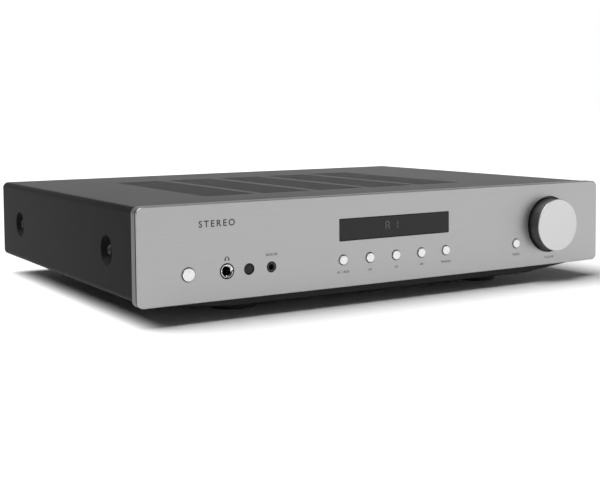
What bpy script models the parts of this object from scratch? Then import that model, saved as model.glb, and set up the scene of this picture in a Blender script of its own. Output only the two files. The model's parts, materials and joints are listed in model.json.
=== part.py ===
"""A low, full-width stereo amplifier with a brushed fascia, modelled as separate pieces.

Metres, +Z up, +X to the right of someone facing the fascia, which looks along -Y.
The origin is on the table, under the middle of the whole object.
"""

import bmesh
import bpy
from math import cos, pi, radians, sin

# Case
WIDTH = 0.430
FASCIA_HEIGHT = 0.0688
FASCIA_BOTTOM = 0.0143
FACE_Y = -0.1593
CORNER_RADIUS = 0.0048
MID_Z = FASCIA_BOTTOM + FASCIA_HEIGHT / 2
COVER_FRONT = 0.0103  # depths are counted backwards from the fascia's face
COVER_BACK = 0.3142
COVER_TOP = FASCIA_BOTTOM + FASCIA_HEIGHT - 0.0004
COVER_BOTTOM = FASCIA_BOTTOM + 0.0025
SHEET = 0.0012
GAP = 0.0003

# Hull under the case, and the feet
HULL_BOTTOM = 0.0078
HULL_TOP = FASCIA_BOTTOM - GAP
HULL_HALF_TOP = 0.2015
HULL_HALF_BOTTOM = 0.1400
HULL_FRONT = 0.0080
TRAY_BACK = 0.3114
TRAY_WALL_X = 0.2075
TRAY_WALL_TOP = 0.0600
FOOT_X = 0.1180
FOOT_DEPTHS = {"front": 0.0500, "rear": 0.2680}
FOOT_RADIUS = 0.0190

# Controls on the fascia
FASCIA_PLATE = 0.0031
CONTROL_Z = FASCIA_BOTTOM + 0.0205
POWER_X = -0.1774
HEADPHONE_X = -0.1475
IR_X = -0.1298
AUX_X = -0.1116
SOURCE_X = -0.0010
SOURCE_PITCH = 0.0244
MENU_X = 0.1220
KNOB_X = 0.1589
KNOB_RADIUS = 0.0218
KNOB_OUT = 0.0107
KNOB_HOLE = 0.02365
DISPLAY_X = -0.0012
DISPLAY_Z = FASCIA_BOTTOM + 0.0431
DISPLAY_SIZE = (0.1040, 0.0168)
SMALL_BUTTON = 0.00355
POWER_BUTTON = 0.00465
BUTTON_GAP = 0.0005
BOARD_FRONT = 0.0150
SUBPANEL_FRONT = 0.0103

# Cooling slots in the cover
SLOT_BLOCKS = 5
SLOT_ROWS = 27
SLOT_LENGTH = 0.0432
SLOT_WIDTH = 0.0028
BLOCK_PITCH = 0.0508
ROW_PITCH = 0.0067
FIRST_ROW = 0.0640
MIDDLE_BLOCK_X = -0.0110

# Pressed screw cups in the cover's sides
CUP_DEPTHS = {"front": 0.0565, "rear": 0.2640}
CUP_RADIUS = 0.0107
CUP_FLOOR_RADIUS = 0.0078
CUP_DEEP = 0.0048

# Height of the main circuit board's upper face
BOARD_TOP = 0.0200

# Rear connections
PANEL_FRONT = 0.3118
PANEL_BACK = 0.3130
INLET_X = -0.1750
ROCKER_X = -0.1350
REAR_Z = 0.0455
SPEAKER_X = -0.0550
SPEAKER_PITCH = 0.0190
LINE_X = 0.0660
LINE_PITCH = 0.0180
LINE_COLUMNS = 5
PHONO_X = 0.1400
GROUND_X = 0.1680
RCA_RADIUS = 0.00415
ROCKER_TILT = 6

MATERIALS = {
    "brushed_silver": ((0.42, 0.42, 0.42, 1), 0.35, 1.0),
    "frame_silver": ((0.40, 0.40, 0.40, 1), 0.40, 1.0),
    "knob_silver": ((0.62, 0.62, 0.62, 1), 0.30, 1.0),
    "button_silver": ((0.85, 0.85, 0.85, 1), 0.30, 0.6),
    "dark_paint": ((0.060, 0.060, 0.062, 1), 0.55, 0.0),
    "black_plastic": ((0.015, 0.015, 0.015, 1), 0.45, 0.0),
    "smoked_window": ((0.020, 0.020, 0.021, 1), 0.15, 0.0),
    "steel": ((0.50, 0.50, 0.50, 1), 0.35, 1.0),
    "chrome": ((0.80, 0.80, 0.80, 1), 0.08, 1.0),
    "brass": ((0.75, 0.58, 0.26, 1), 0.22, 1.0),
    "red_plastic": ((0.45, 0.02, 0.02, 1), 0.40, 0.0),
    "board_green": ((0.02, 0.10, 0.04, 1), 0.50, 0.0),
    "rubber": ((0.02, 0.02, 0.02, 1), 0.80, 0.0),
    "varnished_copper": ((0.45, 0.16, 0.06, 1), 0.35, 0.6),
    "aluminium": ((0.60, 0.60, 0.61, 1), 0.40, 1.0),
    "capacitor_sleeve": ((0.03, 0.05, 0.12, 1), 0.35, 0.0),
    "cable_grey": ((0.35, 0.35, 0.36, 1), 0.55, 0.0),
}


def behind(depth):
    """World Y of a point that far behind the fascia's face."""
    return FACE_Y + depth


def clear_scene():
    for old in list(bpy.data.objects):
        bpy.data.objects.remove(old, do_unlink=True)


def material(name):
    """The Principled material of that name, made once."""
    found = bpy.data.materials.get(name)
    if found:
        return found
    color, roughness, metallic = MATERIALS[name]
    made = bpy.data.materials.new(name)
    made.use_nodes = True
    shader = made.node_tree.nodes["Principled BSDF"]
    shader.inputs["Base Color"].default_value = color
    shader.inputs["Roughness"].default_value = roughness
    shader.inputs["Metallic"].default_value = metallic
    made.diffuse_color = color
    return made


# Outlines, as lists of (u, v) points


def arc(center_u, center_v, radius, start, end, steps):
    """Points along an arc, from the start to the end angle in degrees."""
    points = []
    for step in range(steps + 1):
        angle = radians(start + (end - start) * step / steps)
        points.append((center_u + radius * cos(angle), center_v + radius * sin(angle)))
    return points


def circle(radius, segments, center=(0, 0)):
    return arc(center[0], center[1], radius, 0, 360 - 360 / segments, segments - 1)


def rounded_box(width, height, radius, center=(0, 0), steps=5):
    """A rectangle with rounded corners, counter-clockwise from its lower right corner."""
    across, up = width / 2 - radius, height / 2 - radius
    corners = ((across, -up, -90), (across, up, 0), (-across, up, 90), (-across, -up, 180))
    points = []
    for u, v, start in corners:
        points += arc(center[0] + u, center[1] + v, radius, start, start + 90, steps)
    return points


def rectangle(width, height, center=(0, 0)):
    u, v = width / 2, height / 2
    return [(center[0] + a, center[1] + b) for a, b in ((-u, -v), (u, -v), (u, v), (-u, v))]


def scaled(outline, factor):
    return [(u * factor, v * factor) for u, v in outline]


# Mesh building. AXES turns (u, v, w) into a point, with w along the named axis.

AXES = {
    "X": lambda u, v, w: (w, u, v),
    "Y": lambda u, v, w: (u, w, v),
    "Z": lambda u, v, w: (u, v, w),
}


def add_ring(mesh, outline, w, axis):
    return [mesh.verts.new(AXES[axis](u, v, w)) for u, v in outline]


def bridge(mesh, first, second):
    """Joins two rings of points with quads."""
    count = len(first)
    for i in range(count):
        j = (i + 1) % count
        mesh.faces.new((first[i], first[j], second[j], second[i]))


def cap(mesh, rings):
    """Fills the flat area inside the first ring and outside the others."""
    edges = []
    for ring in rings:
        for i, vertex in enumerate(ring):
            pair = (vertex, ring[(i + 1) % len(ring)])
            edges.append(mesh.edges.get(pair) or mesh.edges.new(pair))
    bmesh.ops.triangle_fill(mesh, use_beauty=True, use_dissolve=False, edges=edges)


def add_block(mesh, sections, holes=(), axis="Y"):
    """A solid lofted through (w, outline) sections of equal point counts.

    A hole is (outline, end): it starts at the first section and runs to w = end,
    or right through when end is None.
    """
    walls = [[add_ring(mesh, outline, w, axis) for w, outline in sections]]
    first, last = sections[0][0], sections[-1][0]
    through = []
    for outline, end in holes:
        bottom = last if end is None else end
        wall = [add_ring(mesh, outline, first, axis), add_ring(mesh, outline, bottom, axis)]
        walls.append(wall)
        if end is None:
            through.append(wall[1])
        else:
            cap(mesh, [wall[1]])
    for wall in walls:
        for near, far in zip(wall, wall[1:]):
            bridge(mesh, near, far)
    cap(mesh, [wall[0] for wall in walls])
    cap(mesh, [walls[0][-1]] + through)


def add_prism(mesh, outline, low, high, axis="Y"):
    add_block(mesh, [(low, outline), (high, outline)], axis=axis)


def add_turned(mesh, profile, axis="Y", segments=24, center=(0, 0, 0)):
    """A turned solid. The profile is (radius, w) from axis to axis, or a closed loop off the axis."""
    rings = []
    for radius, w in profile:
        if radius == 0:
            rings.append([mesh.verts.new(AXES[axis](0, 0, w))])
        else:
            rings.append(add_ring(mesh, circle(radius, segments), w, axis))
    closed = profile[0][0] > 0
    pairs = list(zip(rings, rings[1:]))
    if closed:
        pairs.append((rings[-1], rings[0]))
    for first, second in pairs:
        if len(first) > 1 and len(second) > 1:
            bridge(mesh, first, second)
            continue
        tip, ring = (first, second) if len(first) == 1 else (second, first)
        for i, vertex in enumerate(ring):
            mesh.faces.new((tip[0], vertex, ring[(i + 1) % len(ring)]))
    moved = [vertex for ring in rings for vertex in ring]
    bmesh.ops.translate(mesh, verts=moved, vec=center)


def make_object(name, mesh, material_name, location=(0, 0, 0), rotation=(0, 0, 0)):
    """Puts a finished bmesh in the scene, smooth except at its sharp edges."""
    bmesh.ops.recalc_face_normals(mesh, faces=mesh.faces)
    data = bpy.data.meshes.new(name)
    mesh.to_mesh(data)
    mesh.free()
    data.shade_smooth()
    data.set_sharp_from_angle(angle=radians(32))
    if material_name:
        data.materials.append(material(material_name))
    made = bpy.data.objects.new(name, data)
    made.location = location
    made.rotation_euler = rotation
    bpy.context.scene.collection.objects.link(made)
    return made


def block(name, material_name, sections, holes=(), axis="Y", location=(0, 0, 0)):
    mesh = bmesh.new()
    add_block(mesh, sections, holes, axis)
    return make_object(name, mesh, material_name, location)


def turned(name, material_name, profile, location, axis="Y", segments=24):
    mesh = bmesh.new()
    add_turned(mesh, profile, axis, segments)
    return make_object(name, mesh, material_name, location)


def combine(target, mesh, operation):
    """Adds or cuts away the bodies of a bmesh with a Boolean modifier."""
    step = len(target.modifiers) + 1
    tool = make_object(f"{target.name}_tool_{step}", mesh, None)
    tool.hide_render = True
    tool.display_type = "WIRE"
    modifier = target.modifiers.new(f"{operation.title()} {step}", "BOOLEAN")
    modifier.operation = operation
    modifier.solver = "EXACT"
    modifier.object = tool


# Front


def source_buttons():
    """Name and X of each source button, left to right."""
    return [(f"source_button_{i + 1}", SOURCE_X + SOURCE_PITCH * (i - 2)) for i in range(5)]


def small_buttons():
    return source_buttons() + [("menu_button", MENU_X)]


def round_hole(x, z, radius, segments=24):
    return (circle(radius, segments, (x, z)), None)


def fascia_outline(inset):
    return rounded_box(
        WIDTH - 2 * inset, FASCIA_HEIGHT - 2 * inset, CORNER_RADIUS - min(inset, 0.003), (0, MID_Z)
    )


def make_fascia():
    """The brushed plate, chamfered in front and stepped in behind to leave a shadow groove."""
    chamfer, groove_depth, groove_start = 0.0004, 0.0013, 0.0017
    sections = [
        (behind(0), fascia_outline(chamfer)),
        (behind(chamfer), fascia_outline(0)),
        (behind(groove_start), fascia_outline(0)),
        (behind(groove_start), fascia_outline(groove_depth)),
        (behind(FASCIA_PLATE), fascia_outline(groove_depth)),
    ]
    holes = [
        round_hole(KNOB_X, MID_Z, KNOB_HOLE, 64),
        round_hole(POWER_X, CONTROL_Z, POWER_BUTTON + BUTTON_GAP),
        round_hole(HEADPHONE_X, CONTROL_Z, 0.0056),
        round_hole(IR_X, CONTROL_Z, 0.0041),
        round_hole(AUX_X, CONTROL_Z, 0.0039),
        (rounded_box(*DISPLAY_SIZE, 0.0008, (DISPLAY_X, DISPLAY_Z), 3), None),
    ]
    for _, x in small_buttons():
        holes.append(round_hole(x, CONTROL_Z, SMALL_BUTTON + BUTTON_GAP))
    block("front_fascia", "brushed_silver", sections, holes)


def make_frame():
    """The deep band behind the plate, an open frame."""
    front, back, wall = 0.0034, 0.0100, 0.0034
    sections = [(behind(front), fascia_outline(0)), (behind(back), fascia_outline(0))]
    block("fascia_frame", "frame_silver", sections, [(fascia_outline(wall), None)])


def make_subpanel():
    """Folded steel carrier behind the frame, with a way through for each control."""
    low, high = 0.0192, 0.0808
    outline = rounded_box(0.4250, high - low, 0.0040, (0, (low + high) / 2), 3)
    holes = [
        round_hole(POWER_X, CONTROL_Z, 0.0032, 16),
        round_hole(HEADPHONE_X, CONTROL_Z, 0.0041, 16),
        round_hole(IR_X, CONTROL_Z, 0.0030, 16),
        (rectangle(0.0106, 0.0106, (AUX_X, CONTROL_Z)), None),
        (rectangle(0.1120, 0.0240, (DISPLAY_X, DISPLAY_Z)), None),
        round_hole(KNOB_X, MID_Z, 0.0049, 16),
    ]
    for _, x in small_buttons():
        holes.append(round_hole(x, CONTROL_Z, 0.0026, 12))
    faces = (behind(SUBPANEL_FRONT), behind(SUBPANEL_FRONT + SHEET))
    block("front_subpanel", "steel", [(y, outline) for y in faces], holes)


def make_display():
    """Smoked window with a flange behind the plate, and the module that lights it."""
    center = (DISPLAY_X, DISPLAY_Z)
    width, height = DISPLAY_SIZE
    pane = rounded_box(width - 2 * GAP, height - 2 * GAP, 0.0006, center, 3)
    flange = rounded_box(width + 0.006, height + 0.004, 0.0010, center, 3)
    sections = [
        (behind(0.0003), pane),
        (behind(FASCIA_PLATE + GAP), pane),
        (behind(FASCIA_PLATE + GAP), flange),
        (behind(0.0048), flange),
    ]
    block("display_window", "smoked_window", sections)
    body = rectangle(0.1060, 0.0200, center)
    block("display_module", "black_plastic", [(behind(0.0052), body), (behind(0.0136), body)])


def make_front_board():
    """Circuit board behind the controls, with the soldered switches that the buttons press."""
    low, high = 0.0230, 0.0740
    outline = rectangle(0.3800, high - low, (0, (low + high) / 2))
    hole = (rectangle(0.0140, 0.0150, (HEADPHONE_X, CONTROL_Z)), None)
    faces = (behind(BOARD_FRONT), behind(BOARD_FRONT + 0.0016))
    board = block("front_board", "board_green", [(y, outline) for y in faces], [hole])
    switches = bmesh.new()
    for x in [POWER_X] + [x for _, x in small_buttons()]:
        body = rectangle(0.0062, 0.0062, (x, CONTROL_Z))
        add_prism(switches, body, behind(0.0132), behind(BOARD_FRONT + 0.0008))
    combine(board, switches, "UNION")


def make_button(name, x, radius, out, stem):
    """A domed cap that slides in the plate, its retaining flange and its stem."""
    flange, dome = radius + 0.0010, 0.0002
    profile = [
        (0, -out),
        (radius * 0.60, -out + dome * 0.4),
        (radius * 0.92, -out + dome * 1.6),
        (radius, -out + dome * 3),
        (radius, 0.0035),
        (flange, 0.0035),
        (flange, 0.0045),
        (stem, 0.0045),
        (stem, 0.0118),
        (0, 0.0118),
    ]
    turned(name, "button_silver", profile, (x, FACE_Y, CONTROL_Z), segments=20)


def make_buttons():
    make_button("power_button", POWER_X, POWER_BUTTON, 0.0014, 0.0020)
    for name, x in small_buttons():
        make_button(name, x, SMALL_BUTTON, 0.0012, 0.0016)


def make_volume_control():
    """The knob and its shaft turn together in the encoder's bush."""
    axis = (KNOB_X, FACE_Y, MID_Z)
    bore, bore_end, back = 0.0033, -0.0075, 0.0012
    profile = [
        (0, -KNOB_OUT),
        (KNOB_RADIUS - 0.0008, -KNOB_OUT),
        (KNOB_RADIUS - 0.0003, -KNOB_OUT + 0.0002),
        (KNOB_RADIUS, -KNOB_OUT + 0.0008),
        (KNOB_RADIUS, back),
        (bore, back),
        (bore, bore_end),
        (0, bore_end),
    ]
    turned("volume_knob", "knob_silver", profile, axis, segments=64)
    shaft = [(0, -0.0071), (0.0026, -0.0071), (0.0030, -0.0067), (0.0030, 0.0123), (0, 0.0123)]
    turned("encoder_shaft", "steel", shaft, axis, segments=16)
    center = (KNOB_X, MID_Z)
    bush = circle(0.0045, 24, center)
    can = rounded_box(0.0130, 0.0130, 0.0010, center)
    sections = [
        (behind(0.0043), bush),
        (behind(0.0118), bush),
        (behind(0.0118), can),
        (behind(0.0147), can),
    ]
    block("encoder_body", "steel", sections, [round_hole(*center, 0.0034, 16)])
    nut = [(behind(0.0078), circle(0.0068, 6, center)), (behind(0.0099), circle(0.0068, 6, center))]
    block("encoder_nut", "steel", nut, [round_hole(*center, 0.0048, 18)])


def make_headphone_socket():
    """A 6.35 mm socket: its threaded nose and body, and the notched ring nut that holds it."""
    center = (HEADPHONE_X, CONTROL_Z)
    nose = circle(0.0037, 24, center)
    body = rounded_box(0.0120, 0.0130, 0.0008, center)
    sections = [
        (behind(0.0002), nose),
        (behind(0.0118), nose),
        (behind(0.0118), body),
        (behind(0.0330), body),
    ]
    bore = (circle(0.0032, 24, center), behind(0.0305))
    block("headphone_jack", "chrome", sections, [bore])
    ring = [(0.0041, -0.0002), (0.0049, -0.0002), (0.0052, 0.0002), (0.0052, 0.0028), (0.0041, 0.0028)]
    nut = turned("headphone_nut", "chrome", ring, (HEADPHONE_X, FACE_Y, CONTROL_Z), segments=24)
    notches = bmesh.new()
    for turn in range(4):
        u, v = 0.0047 * cos(turn * pi / 2), 0.0047 * sin(turn * pi / 2)
        notch = rectangle(0.0014, 0.0014, (HEADPHONE_X + u, CONTROL_Z + v))
        add_prism(notches, notch, behind(-0.0010), behind(0.0010))
    combine(nut, notches, "DIFFERENCE")


def make_small_front_parts():
    center = (AUX_X, CONTROL_Z)
    nose = circle(0.0036, 20, center)
    body = rounded_box(0.0090, 0.0090, 0.0006, center, 4)
    sections = [
        (behind(0.0003), nose),
        (behind(0.0035), nose),
        (behind(0.0035), body),
        (behind(0.0143), body),
    ]
    bore = (circle(0.0018, 16, center), behind(0.0130))
    block("aux_jack", "black_plastic", sections, [bore])
    lens = [
        (0, 0.0003),
        (0.0032, 0.0004),
        (0.0038, 0.0007),
        (0.0038, 0.0034),
        (0.0050, 0.0034),
        (0.0050, 0.0044),
        (0, 0.0044),
    ]
    turned("ir_window", "smoked_window", lens, (IR_X, FACE_Y, CONTROL_Z))


# Case


def cover_path(inset):
    """The cover's cross-section line, left foot to right foot, that far inside the outer skin."""
    x, radius, foot = WIDTH / 2 - CORNER_RADIUS, CORNER_RADIUS - inset, 0.2030
    low, high = COVER_BOTTOM + CORNER_RADIUS, COVER_TOP - CORNER_RADIUS
    points = [(-foot, COVER_BOTTOM + inset)]
    points += arc(-x, low, radius, -90, -180, 5)
    points += arc(-x, high, radius, 180, 90, 5)
    points += arc(x, high, radius, 90, 0, 5)
    points += arc(x, low, radius, 0, -90, 5)
    points.append((foot, COVER_BOTTOM + inset))
    return points


def cup_profile(surface, extra):
    """A screw cup along +X, from its mouth at w = surface to its floor."""
    return [
        (0, surface),
        (CUP_RADIUS + extra, surface),
        (CUP_RADIUS + extra, 0.0002),
        (CUP_FLOOR_RADIUS + extra, CUP_DEEP + extra),
        (0, CUP_DEEP + extra),
    ]


def mirrored(profile, side):
    """The profile as it lies on the right side of the case, or unchanged on the left."""
    return [(radius, -side * w) for radius, w in profile]


def screw_places():
    """Name, side and world position of each cover screw's place on the outer skin."""
    places = []
    for side_name, side in (("left", -1), ("right", 1)):
        for place, depth in CUP_DEPTHS.items():
            position = (side * WIDTH / 2, behind(depth), MID_Z)
            places.append((f"cover_screw_{side_name}_{place}", side, position))
    return places


def make_top_cover():
    """Folded cover: one sheet over the top and down both sides, slotted and pressed."""
    outline = cover_path(0) + list(reversed(cover_path(SHEET)))
    cover = block(
        "top_cover", "dark_paint", [(behind(COVER_FRONT), outline), (behind(COVER_BACK), outline)]
    )
    cups = bmesh.new()
    cuts = bmesh.new()
    hole, reach = 0.0023, 0.0090
    cut_profile = cup_profile(-0.0010, 0)[:-1]
    cut_profile += [(hole, CUP_DEEP), (hole, reach), (0, reach)]
    for _, side, position in screw_places():
        add_turned(cups, mirrored(cup_profile(0.0004, SHEET), side), "X", 24, position)
        add_turned(cuts, mirrored(cut_profile, side), "X", 24, position)
    slot = rectangle(SLOT_LENGTH, SLOT_WIDTH)
    for column in range(SLOT_BLOCKS):
        x = MIDDLE_BLOCK_X + BLOCK_PITCH * (column - (SLOT_BLOCKS - 1) / 2)
        for row in range(SLOT_ROWS):
            y = behind(FIRST_ROW + ROW_PITCH * row)
            moved = [(u + x, v + y) for u, v in slot]
            add_prism(cuts, moved, COVER_TOP - 2 * SHEET, COVER_TOP + SHEET, "Z")
    combine(cover, cups, "UNION")
    combine(cover, cuts, "DIFFERENCE")


def both_sides(half):
    """A closed outline from its right half."""
    return half + [(-u, v) for u, v in reversed(half)]


def make_chassis():
    """The tray: sloped hull below, upright side walls inside the cover, open at the top and back."""
    shoulder = 0.0190
    hull = both_sides([(HULL_HALF_TOP, HULL_TOP), (HULL_HALF_BOTTOM, HULL_BOTTOM)])
    chassis = block(
        "chassis_base", "dark_paint", [(behind(HULL_FRONT), hull), (behind(TRAY_BACK), hull)]
    )
    walls = bmesh.new()
    wall = both_sides(
        [
            (TRAY_WALL_X, TRAY_WALL_TOP),
            (TRAY_WALL_X, shoulder),
            (HULL_HALF_TOP, shoulder),
            (HULL_HALF_TOP, HULL_TOP - 0.0010),
        ]
    )
    add_prism(walls, wall, behind(0.0345), behind(TRAY_BACK))
    inside = bmesh.new()
    room = both_sides(
        [
            (TRAY_WALL_X - SHEET, TRAY_WALL_TOP + 0.01),
            (TRAY_WALL_X - SHEET, shoulder + SHEET),
            (HULL_HALF_TOP - SHEET, shoulder + SHEET),
            (HULL_HALF_TOP - SHEET, HULL_TOP + SHEET / 2),
            (HULL_HALF_BOTTOM, HULL_BOTTOM + SHEET),
        ]
    )
    add_prism(inside, room, behind(HULL_FRONT + SHEET), behind(TRAY_BACK + 0.002))
    holes = bmesh.new()
    for _, side, position in screw_places():
        shank = [(0, 0.0040), (0.0022, 0.0040), (0.0022, 0.0120), (0, 0.0120)]
        add_turned(holes, mirrored(shank, side), "X", 16, position)
    combine(chassis, walls, "UNION")
    combine(chassis, inside, "DIFFERENCE")
    combine(chassis, holes, "DIFFERENCE")


def make_feet():
    """Rubber feet with rounded rims, standing on the table, recessed for their screws."""
    top, rim = HULL_BOTTOM - GAP, 0.0012
    profile = [
        (0, top),
        (FOOT_RADIUS - 0.0015, top),
        (FOOT_RADIUS, 0.0040),
        (FOOT_RADIUS - 0.0004, rim),
        (FOOT_RADIUS - 0.0016, 0),
        (0.0045, 0),
        (0.0045, 0.0040),
        (0, 0.0040),
    ]
    for place, depth in FOOT_DEPTHS.items():
        for side_name, side in (("left", -1), ("right", 1)):
            location = (side * FOOT_X, behind(depth), 0)
            turned(f"foot_{place}_{side_name}", "rubber", profile, location, "Z", 24)


def make_cover_screws():
    """Domed screws down in the cover's cups, through to the tray's walls."""
    head_bottom = CUP_DEEP - GAP
    profile = [
        (0, 0.0018),
        (0.0018, 0.0020),
        (0.0032, 0.0027),
        (0.0040, 0.0038),
        (0.0040, head_bottom),
        (0.0018, head_bottom),
        (0.0018, 0.0140),
        (0, 0.0140),
    ]
    for name, side, position in screw_places():
        turned(name, "black_plastic", mirrored(profile, side), position, "X", 16)


# Inside


def make_transformer():
    """A toroid on the tray's floor, with the dished clamp and bolt that hold it down."""
    x, y = -0.1050, behind(0.1350)
    inner, outer, bottom, top, soft = 0.0160, 0.0520, 0.0110, 0.0520, 0.0080
    profile = arc(outer - soft, bottom + soft, soft, -90, 0, 2)
    profile += arc(outer - soft, top - soft, soft, 0, 90, 2)
    profile += arc(inner + soft, top - soft, soft, 90, 180, 2)
    profile += arc(inner + soft, bottom + soft, soft, 180, 270, 2)
    turned("transformer", "varnished_copper", profile, (x, y, 0), "Z", 28)
    plate_low, plate_high, bolt = top + GAP, top + 0.0023, 0.0040
    clamp = [
        (0, 0.0580),
        (0.0065, 0.0580),
        (0.0065, plate_high),
        (0.0300, plate_high),
        (0.0300, plate_low),
        (bolt, plate_low),
        (bolt, 0.0094),
        (0, 0.0094),
    ]
    turned("transformer_clamp", "steel", clamp, (x, y, 0), "Z", 16)


def floor_height(x):
    """Height of the tray's inner floor at that distance from the middle."""
    slope = (HULL_TOP - HULL_BOTTOM) / (HULL_HALF_TOP - HULL_HALF_BOTTOM)
    return HULL_BOTTOM + SHEET + max(0, abs(x) - HULL_HALF_BOTTOM) * slope


def make_main_board():
    """The power and signal board on its spacers, with the larger soldered parts."""
    left, right, front, back = -0.0400, 0.1950, 0.0900, 0.2980
    center = ((left + right) / 2, behind((front + back) / 2))
    outline = rectangle(right - left, back - front, center)
    board = block(
        "main_board", "board_green", [(BOARD_TOP - 0.0016, outline), (BOARD_TOP, outline)], axis="Z"
    )
    parts = bmesh.new()
    for x in (left + 0.008, center[0], right - 0.008):
        for depth in (front + 0.008, back - 0.008):
            spacer = circle(0.0030, 10, (x, behind(depth)))
            add_prism(parts, spacer, floor_height(x + 0.003) + GAP, BOARD_TOP - 0.0008, "Z")
    relays = [(x, 0.2860, 0.016, 0.012, 0.015) for x in (-0.025, -0.002, 0.021)]
    chips = [(0.100, 0.2500, 0.020, 0.010, 0.004), (0.150, 0.2500, 0.014, 0.014, 0.003)]
    for x, depth, width, length, height in relays + chips:
        middle = (x, behind(depth - 0.020))
        solid = rectangle(width, length, middle)
        add_prism(parts, solid, BOARD_TOP - 0.0008, BOARD_TOP + height, "Z")
    combine(board, parts, "UNION")


def make_heatsink():
    """A finned extrusion across the board: a back plate with upright fins in front of it."""
    x, base_depth, base, fin, pitch, count = 0.0750, 0.2100, 0.0060, 0.0020, 0.0120, 12
    length = pitch * (count - 1) + fin
    tip, root = behind(base_depth - 0.0300), behind(base_depth)
    start = x - length / 2
    outline = [(start, root + base)]
    for i in range(count):
        low = start + pitch * i
        outline += [(low, root), (low, tip), (low + fin, tip), (low + fin, root)]
    outline = outline[:1] + outline[2:-1] + [(start + length, root + base)]
    sections = [(BOARD_TOP + GAP, outline), (0.0660, outline)]
    block("heatsink", "aluminium", sections, axis="Z")


def make_capacitors():
    """The two smoothing capacitors of the supply."""
    radius, low, high = 0.0150, BOARD_TOP + GAP, 0.0560
    profile = [
        (0, high - 0.0006),
        (radius - 0.0022, high - 0.0006),
        (radius - 0.0014, high),
        (radius, high - 0.0012),
        (radius, low + 0.0020),
        (radius - 0.0010, low),
        (0, low),
    ]
    for number, x in ((1, 0.0100), (2, 0.0480)):
        location = (x, behind(0.1250), 0)
        turned(f"filter_capacitor_{number}", "capacitor_sleeve", profile, location, "Z", 16)


def make_ribbon_cable():
    """Flat cable from the front board over to the main board, arched between its ends."""
    start, end, low, rise, thickness, steps = 0.0169, 0.0960, 0.0205, 0.0260, 0.0012, 14
    upper, lower = [], []
    for step in range(steps + 1):
        part = step / steps
        y = behind(start + (end - start) * part)
        z = low + 0.0100 * (1 - part) + rise * sin(pi * part)
        lower.append((y, z))
        upper.append((y, z + thickness))
    outline = lower + list(reversed(upper))
    block("ribbon_cable", "cable_grey", [(0.0700, outline), (0.1000, outline)], axis="X")


# Rear


def speaker_places():
    return [SPEAKER_X + SPEAKER_PITCH * (i - 1.5) for i in range(4)]


def line_places():
    """Centre (x, z) of each line input socket, two rows."""
    places = []
    for column in range(LINE_COLUMNS):
        x = LINE_X + LINE_PITCH * (column - (LINE_COLUMNS - 1) / 2)
        places += [(x, REAR_Z - LINE_PITCH / 2), (x, REAR_Z + LINE_PITCH / 2)]
    return places


def phono_places():
    return [(PHONO_X, REAR_Z - LINE_PITCH / 2), (PHONO_X, REAR_Z + LINE_PITCH / 2)]


def make_rear_panel():
    """Rear wall, from the cover's inside down over the end of the hull."""
    half, low, high, radius = 0.2132, 0.0186, 0.0811, 0.0040
    right = [(HULL_HALF_BOTTOM, HULL_BOTTOM + GAP), (HULL_HALF_TOP, HULL_TOP), (HULL_HALF_TOP, low)]
    right += arc(half - radius, low + radius, radius, -90, 0, 5)
    right += arc(half - radius, high - radius, radius, 0, 90, 5)
    outline = both_sides(right)
    holes = [
        (rectangle(0.0284, 0.0204, (INLET_X, REAR_Z)), None),
        (rectangle(0.0142, 0.0202, (ROCKER_X, REAR_Z)), None),
        round_hole(GROUND_X, REAR_Z, 0.0032, 12),
    ]
    holes += [round_hole(x, REAR_Z, 0.0045, 12) for x in speaker_places()]
    holes += [round_hole(x, z, 0.0050, 12) for x, z in line_places() + phono_places()]
    faces = (behind(PANEL_FRONT), behind(PANEL_BACK))
    block("rear_panel", "dark_paint", [(y, outline) for y in faces], holes)


def make_mains_inlet():
    """Three-pin appliance inlet: flange outside the panel, a deep cavity, and its pins."""
    center = (INLET_X, REAR_Z)
    flange = rounded_box(0.0320, 0.0250, 0.0015, center, 2)
    body = rounded_box(0.0275, 0.0195, 0.0010, center, 2)
    seat = behind(PANEL_BACK + GAP)
    sections = [(behind(0.3158), flange), (seat, flange), (seat, body), (behind(0.2900), body)]
    floor = behind(0.2998)
    cavity = [(u + INLET_X, v + REAR_Z) for u, v in inlet_outline(0.0122, 0.0082, 0.0050)]
    inlet = block("mains_inlet", "black_plastic", sections, [(cavity, floor)])
    pins = bmesh.new()
    for u, v in ((-0.0070, -0.0015), (0.0070, -0.0015), (0, 0.0030)):
        pin = rectangle(0.0020, 0.0040, (INLET_X + u, REAR_Z + v))
        add_prism(pins, pin, floor - 0.001, behind(0.3118))
    combine(inlet, pins, "UNION")


def inlet_outline(half_width, half_height, corner):
    """A rectangle with its two upper corners cut off."""
    right = [
        (half_width, -half_height),
        (half_width, half_height - corner),
        (half_width - corner, half_height),
    ]
    return both_sides(right)


def make_mains_switch():
    """The switch's bezel and housing, and the rocker that tips in it."""
    center = (ROCKER_X, REAR_Z)
    bezel = rounded_box(0.0160, 0.0225, 0.0010, center, 2)
    housing = rounded_box(0.0135, 0.0195, 0.0005, center, 2)
    seat = behind(PANEL_BACK + GAP)
    sections = [(behind(0.3153), bezel), (seat, bezel), (seat, housing), (behind(0.2960), housing)]
    well = (rectangle(0.0118, 0.0180, center), behind(0.3000))
    block("mains_switch_frame", "black_plastic", sections, [well])
    half, face, waist, root = 0.0078, 0.0074, 0.0058, 0.0048
    profile = [(-root, -0.0040), (0, -half), (face, -half), (waist, 0), (face, half), (0, half)]
    profile.append((-root, 0.0040))
    mesh = bmesh.new()
    add_prism(mesh, profile, -0.0055, 0.0055, "X")
    pivot = (ROCKER_X, behind(0.3085), REAR_Z)
    make_object("mains_rocker", mesh, "black_plastic", pivot, (radians(-ROCKER_TILT), 0, 0))


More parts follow.
